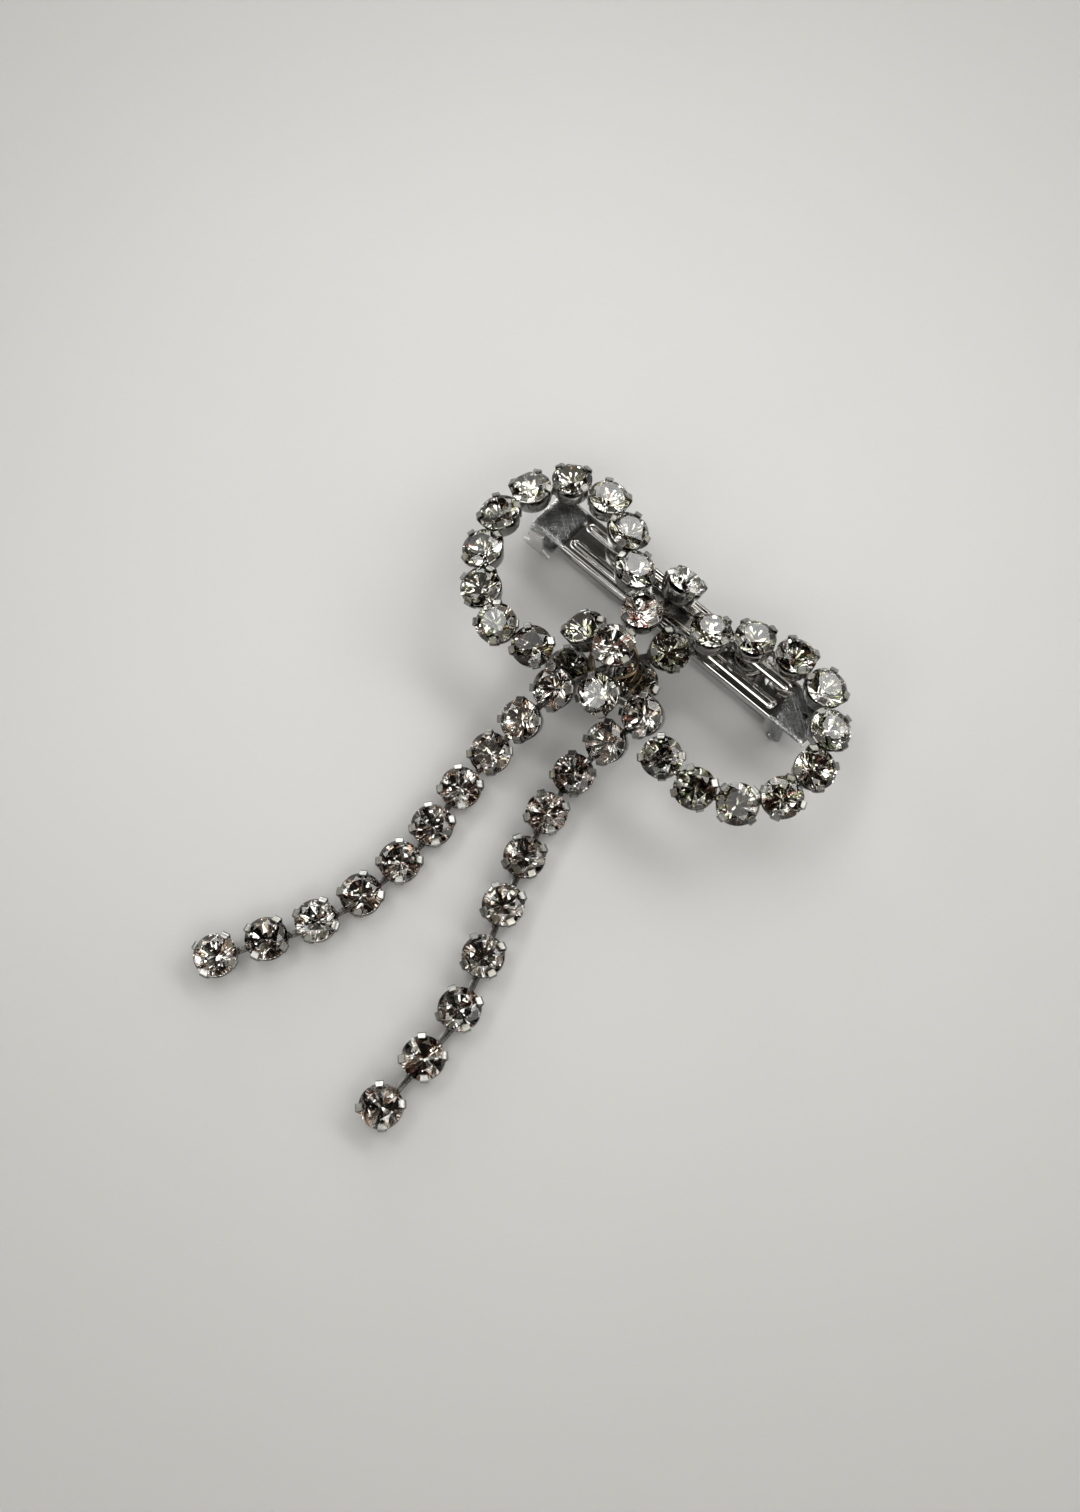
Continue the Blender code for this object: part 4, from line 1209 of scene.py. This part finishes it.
STATIONS, TOPS, BEND_STEPS, SIDE_STEPS, LUG_STEPS = 190, 28, 5, 8, 8
STEP_HALF = 0.03 * MM
LEAST_SIDE = 0.02 * MM
END_TAPER = 0.04


def rib_lift(x, y):
    """How far a rib raises the sheet here, with a flat top and rounded shoulders."""
    run = max(abs(x) - (RIB_REACH - RIB_WIDTH / 2), 0)
    away = math.hypot(run, abs(y) - RIB_Y)
    share = min(max((RIB_WIDTH / 2 - away) / RIB_SHOULDER, 0), 1)
    return RIB_HEIGHT * share * share * (3 - 2 * share)


def flange_depth(x):
    """How far the turned-down edge reaches below the top here."""
    if abs(x - PIN_X) <= LUG_HALF:
        lug = PLATE_TOP - plate_low.z
        past = max(abs(x - PIN_X) / LUG_HALF - LUG_STRAIGHT, 0)
        return lug - (LUG_HALF * LUG_ROUND) * past**1.6 / (1 - LUG_STRAIGHT) ** 1.6
    if FLANGE_START < x < PIN_X:
        run = min((x - FLANGE_START) / FLANGE_RUN, 1)
        return EDGE_DROP + (FLANGE_DROP - EDGE_DROP) * run * run * (3 - 2 * run)
    return EDGE_DROP


def plate_stations():
    """Places along the plate: even steps, with close pairs where the flange's depth jumps."""
    inner = HALF_LENGTH - BEND
    places = [-inner + 2 * inner * step / STATIONS for step in range(STATIONS + 1)]
    for edge in (PIN_X - LUG_HALF, PIN_X + LUG_HALF):
        places = [x for x in places if abs(x - edge) > 4 * STEP_HALF]
        places += [edge - STEP_HALF, edge + STEP_HALF]
    places += [PIN_X + LUG_HALF * (step / LUG_STEPS - 1) for step in range(1, 2 * LUG_STEPS)]
    return sorted(set(places))


def across_points(x):
    """The sheet's outer line across the plate at one place."""
    flat = HALF_WIDTH - BEND
    line = [(-flat + 2 * flat * step / TOPS, None) for step in range(TOPS + 1)]
    depth = flange_depth(x)
    side = []
    for step in range(1, BEND_STEPS + 1):
        angle = math.pi / 2 * step / BEND_STEPS
        side.append((flat + BEND * math.sin(angle), min(BEND * (1 - math.cos(angle)), depth)))
    for step in range(1, SIDE_STEPS + 1):
        side.append((HALF_WIDTH, BEND + max(depth - BEND, LEAST_SIDE) * step / SIDE_STEPS))
    points = [(-y, drop) for y, drop in reversed(side)]
    return points + line + side


def plate_sheet():
    """The outer surface of the plate as a grid, with its ends folded down."""
    shape = bmesh.new()
    rows = []
    for x in plate_stations():
        row = []
        for y, drop in across_points(x):
            z = PLATE_TOP + rib_lift(x, y) if drop is None else PLATE_TOP - drop
            row.append(shape.verts.new((x, y, z)))
        rows.append(row)
    for before, after in zip(rows, rows[1:]):
        for k in range(len(before) - 1):
            shape.faces.new([before[k], after[k], after[k + 1], before[k + 1]])
    edge = HALF_LENGTH - BEND
    straight = SIDE_STEPS - BEND_STEPS
    for row, way in ((rows[0], -1), (rows[-1], 1)):
        top_row = row[SIDE_STEPS:-SIDE_STEPS]
        last = top_row
        for step in range(1, SIDE_STEPS + 1):
            angle = math.pi / 2 * min(step, BEND_STEPS) / BEND_STEPS
            x = way * (edge + BEND * math.sin(angle))
            fall = BEND * (1 - math.cos(angle))
            fall += max(step - BEND_STEPS, 0) / straight * (END_DROP - BEND)
            line = []
            for vert in top_row:
                y = vert.co.y * (1 - END_TAPER * (step / SIDE_STEPS) ** 2)
                line.append(shape.verts.new((x, y, min(vert.co.z, PLATE_TOP) - fall)))
            for k in range(len(last) - 1):
                corners = [last[k], line[k], line[k + 1], last[k + 1]]
                shape.faces.new(corners if way > 0 else corners[::-1])
            last = line
    bmesh.ops.recalc_face_normals(shape, faces=shape.faces)
    centre = Vector((0, 0, PLATE_TOP))
    middle = min(shape.faces, key=lambda face: (face.calc_center_median() - centre).length)
    if middle.normal.z < 0:
        bmesh.ops.reverse_faces(shape, faces=shape.faces)
    return shape


def applied(obj):
    """The object with its modifiers made part of its mesh."""
    bpy.context.view_layer.update()
    graph = bpy.context.evaluated_depsgraph_get()
    obj.data = bpy.data.meshes.new_from_object(obj.evaluated_get(graph), depsgraph=graph)
    obj.modifiers.clear()
    obj.data.name = obj.name
    return obj


PLATE_EDGE = 0.09 * MM
plate = helper_object("plate_sheet", plate_sheet())
HELPERS.remove(plate)
wall = plate.modifiers.new("sheet", "SOLIDIFY")
wall.thickness = PLATE_SHEET
wall.offset = -1
edge = plate.modifiers.new("rubbed", "BEVEL")
edge.width = PLATE_EDGE
edge.segments = 2
edge.limit_method = "ANGLE"
edge.angle_limit = math.radians(60)
applied(plate)
plate.data.shade_smooth()
plate.data.set_sharp_from_angle(angle=math.radians(50))
plate.data.materials.append(plate_metal(PAD_START, FOLD_START))
finished(plate, ROOT, "nickel_sheet", "top_plate")
print("plate:", len(plate.data.polygons), "faces")

# %% [markdown]
# ## The smaller pieces of the barrette
# The clasp arm, catch, spring, pin and rivet are right in shape as the frame has them, apart from
# their knife-sharp edges. Pressed and turned steel has rounded ones, which catch the light. So each
# is a merged copy of its solid, with flat areas joined and the edges rounded in steps.

# %% Rounded copies
ROUND_STEPS = 3
FLAT_BELOW, ROUND_ABOVE, SMOOTH_BELOW = math.radians(1.5), math.radians(30), math.radians(35)


def rounded(name, node, material, width):
    """A copy of a frame solid with joined flats and rounded edges."""
    shape = merged(node)
    bmesh.ops.dissolve_limit(shape, angle_limit=FLAT_BELOW, verts=shape.verts, edges=shape.edges)
    made = helper_object(name, shape)
    HELPERS.remove(made)
    edge = made.modifiers.new("rounded", "BEVEL")
    edge.width = width
    edge.segments = ROUND_STEPS
    edge.limit_method = "ANGLE"
    edge.angle_limit = ROUND_ABOVE
    edge.use_clamp_overlap = True
    applied(made)
    made.data.shade_smooth()
    made.data.set_sharp_from_angle(angle=SMOOTH_BELOW)
    made.data.materials.clear()
    made.data.materials.append(material)
    return made


for name, node, body, slot, material, width in (
    ("clasp_bar", "clasp_arm", "clasp_arm", "spring_steel", SPRING_METAL, 0.18 * MM),
    ("catch_bridge", "catch_base", ROOT, "nickel_sheet", SATIN_METAL, 0.15 * MM),
    ("rear_finger_wing", "catch_wing_rear", "catch_wing_rear", "catch_steel", SATIN_METAL, 0.15 * MM),
    ("front_finger_wing", "catch_wing_front", "catch_wing_front", "catch_steel", SATIN_METAL, 0.15 * MM),
    ("bowed_spring", "tension_spring", "tension_spring", "spring_steel", SPRING_METAL, 0.08 * MM),
    ("hinge_pin_rod", "hinge_pin", ROOT, "pin_steel", PIN_METAL, 0.15 * MM),
    ("spring_rivet_head", "spring_rivet", ROOT, "pin_steel", PIN_METAL, 0.12 * MM),
):
    piece = finished(rounded(name, node, material, width), body, slot, node)
    print(name, len(piece.data.polygons), "faces")

# %% [markdown]
# ## Table, light and room
# The clip lies on a plain pale sheet under soft light from behind and above. The sheet's colour is
# painted darker away from one spot near its middle: a painted pool of light with painted shade round it.
# The stones need more than that to look at: their wedges are reflections of whatever is bright or dark
# overhead. So the room is a pattern of bright and dark panels in neutral, warm and olive tones, seen
# only by reflections and light, while the camera itself sees a plain pale backdrop. One patch of it is
# near black: the one that flat, level metal mirrors, so that the plate reads as polished steel.

# %% Table
# A painted pool of light on the paper: its middle, its reach, and the painted shade beyond it.
PAINTED_LIGHT_PLACE = (-0.035, 0.0, 0)
PAINTED_LIGHT_RADIUS, PAINTED_SHADE_RADIUS, PAINTED_SHADE_SHARE = 0.03, 0.24, 0.7
PAPER_TONES = [(0.3, (0.555, 0.556, 0.558)), (0.7, (0.575, 0.576, 0.578))]
PAINTED_SHADE_TONE = (0.3, 0.3, 0.295, 1)
PAPER_ROUGH, TABLE_HALF = 0.75, 1.5


def table_top():
    """The pale table, as one large sheet a hair below the clip, with painted shade darkening it away from
    a painted pool of light.
    """
    shape = bmesh.new()
    bmesh.ops.create_grid(shape, x_segments=8, y_segments=8, size=TABLE_HALF)
    mesh = bpy.data.meshes.new("table_top")
    shape.to_mesh(mesh)
    shape.free()
    made = bpy.data.objects.new("table_top", mesh)
    bpy.context.scene.collection.objects.link(made)
    paint = bpy.data.materials.new("pale_paper")
    paint.use_nodes = True
    tree = paint.node_tree
    shader = tree.nodes["Principled BSDF"]
    place = add(tree, "ShaderNodeTexCoord").outputs["Object"]
    grain = add(tree, "ShaderNodeTexNoise", {"Vector": place, "Scale": 9.0, "Detail": 2.0})
    paper = ramp(tree, grain.outputs[0], PAPER_TONES)
    # Painted light and shade: the paper's colour is mixed towards a dark tone with distance from one spot.
    away = add(tree, "ShaderNodeVectorMath", {0: place, 1: PAINTED_LIGHT_PLACE}, operation="DISTANCE")
    painted_falloff = add(
        tree,
        "ShaderNodeMapRange",
        {"Value": away.outputs["Value"], 1: PAINTED_LIGHT_RADIUS, 2: PAINTED_SHADE_RADIUS, 3: 0.0, 4: PAINTED_SHADE_SHARE},
        interpolation_type="SMOOTHSTEP",
    )
    painted_shade_paper = mixed(tree, painted_falloff.outputs[0], paper, PAINTED_SHADE_TONE)
    tree.links.new(painted_shade_paper, shader.inputs["Base Color"])
    shader.inputs["Roughness"].default_value = PAPER_ROUGH
    mesh.materials.append(paint)
    return made


table_top()


# %% Lights
def soft_light(name, place, size, power, colour):
    """A square soft box that faces the clip."""
    data = bpy.data.lights.new(name, "AREA")
    data.shape = "RECTANGLE"
    data.size, data.size_y = size
    data.energy = power
    data.color = colour
    lamp = bpy.data.objects.new(name, data)
    bpy.context.scene.collection.objects.link(lamp)
    lamp.location = place
    target = (cad_low + cad_high) / 2
    lamp.rotation_euler = (target - Vector(place)).to_track_quat("-Z", "Y").to_euler()
    return lamp


soft_light("window", (0.1, 0.75, 0.8), (0.5, 0.35), 2.8, (1.0, 0.99, 0.97))
soft_light("ceiling_panel", (-0.5, -0.1, 0.9), (0.3, 0.3), 1.1, (0.97, 0.99, 1.0))
soft_light("side_panel", (0.7, -0.35, 0.6), (0.12, 0.5), 0.9, (1.0, 0.97, 0.93))


# %% Room
PANE_TONES = [
    (0.0, (0.004, 0.004, 0.004)),
    (0.24, (0.06, 0.035, 0.025)),
    (0.34, (0.35, 0.33, 0.29)),
    (0.42, (1.0, 0.99, 0.96)),
    (0.58, (0.005, 0.005, 0.004)),
    (0.72, (2.8, 2.8, 2.74)),
    (0.9, (0.7, 0.66, 0.5)),
]
PANE_SCALE, ROOM_LIGHT = 4.4, 1.95
DARK_EDGE, DARK_CORE, DARK_SHARE = 0.89, 0.95, 0.97
DARK_WAY = Vector((CAMERA_SIGHT.x, CAMERA_SIGHT.y, -CAMERA_SIGHT.z)).normalized()


def room():
    """The surroundings: a contrasty pattern for reflections, plain and pale for the camera."""
    world = bpy.data.worlds.new("room")
    bpy.context.scene.world = world
    world.use_nodes = True
    tree = world.node_tree
    tree.nodes.clear()
    way = add(tree, "ShaderNodeTexCoord").outputs["Generated"]
    panels = add(
        tree, "ShaderNodeTexVoronoi", {"Vector": way, "Scale": PANE_SCALE, "Randomness": 0.9}, feature="F1"
    )
    pick = add(tree, "ShaderNodeSeparateColor", {0: panels.outputs["Color"]})
    panes = ramp(tree, pick.outputs[0], PANE_TONES, smooth=False)
    towards = add(tree, "ShaderNodeVectorMath", {0: way, 1: DARK_WAY}, operation="DOT_PRODUCT")
    shade = add(
        tree,
        "ShaderNodeMapRange",
        {"Value": towards.outputs["Value"], 1: DARK_EDGE, 2: DARK_CORE, 3: 0.0, 4: DARK_SHARE},
    )
    pattern = mixed(tree, shade.outputs[0], panes, (0.015, 0.014, 0.012, 1))
    seen = add(tree, "ShaderNodeBackground", {"Color": (0.66, 0.66, 0.64, 1), "Strength": 1.0})
    lit = add(tree, "ShaderNodeBackground", {"Color": pattern, "Strength": ROOM_LIGHT})
    straight = add(tree, "ShaderNodeLightPath").outputs["Is Camera Ray"]
    blend = add(
        tree, "ShaderNodeMixShader", {0: straight, 1: lit.outputs[0], 2: seen.outputs[0]}
    )
    output = add(tree, "ShaderNodeOutputWorld")
    tree.links.new(blend.outputs[0], output.inputs[0])


room()
bpy.context.scene.view_settings.view_transform = "Standard"

# %% [markdown]
# ## Clean-up
# The helpers were only patterns, so they go.

# %% Clean-up
for helper in HELPERS:
    bpy.data.objects.remove(helper)
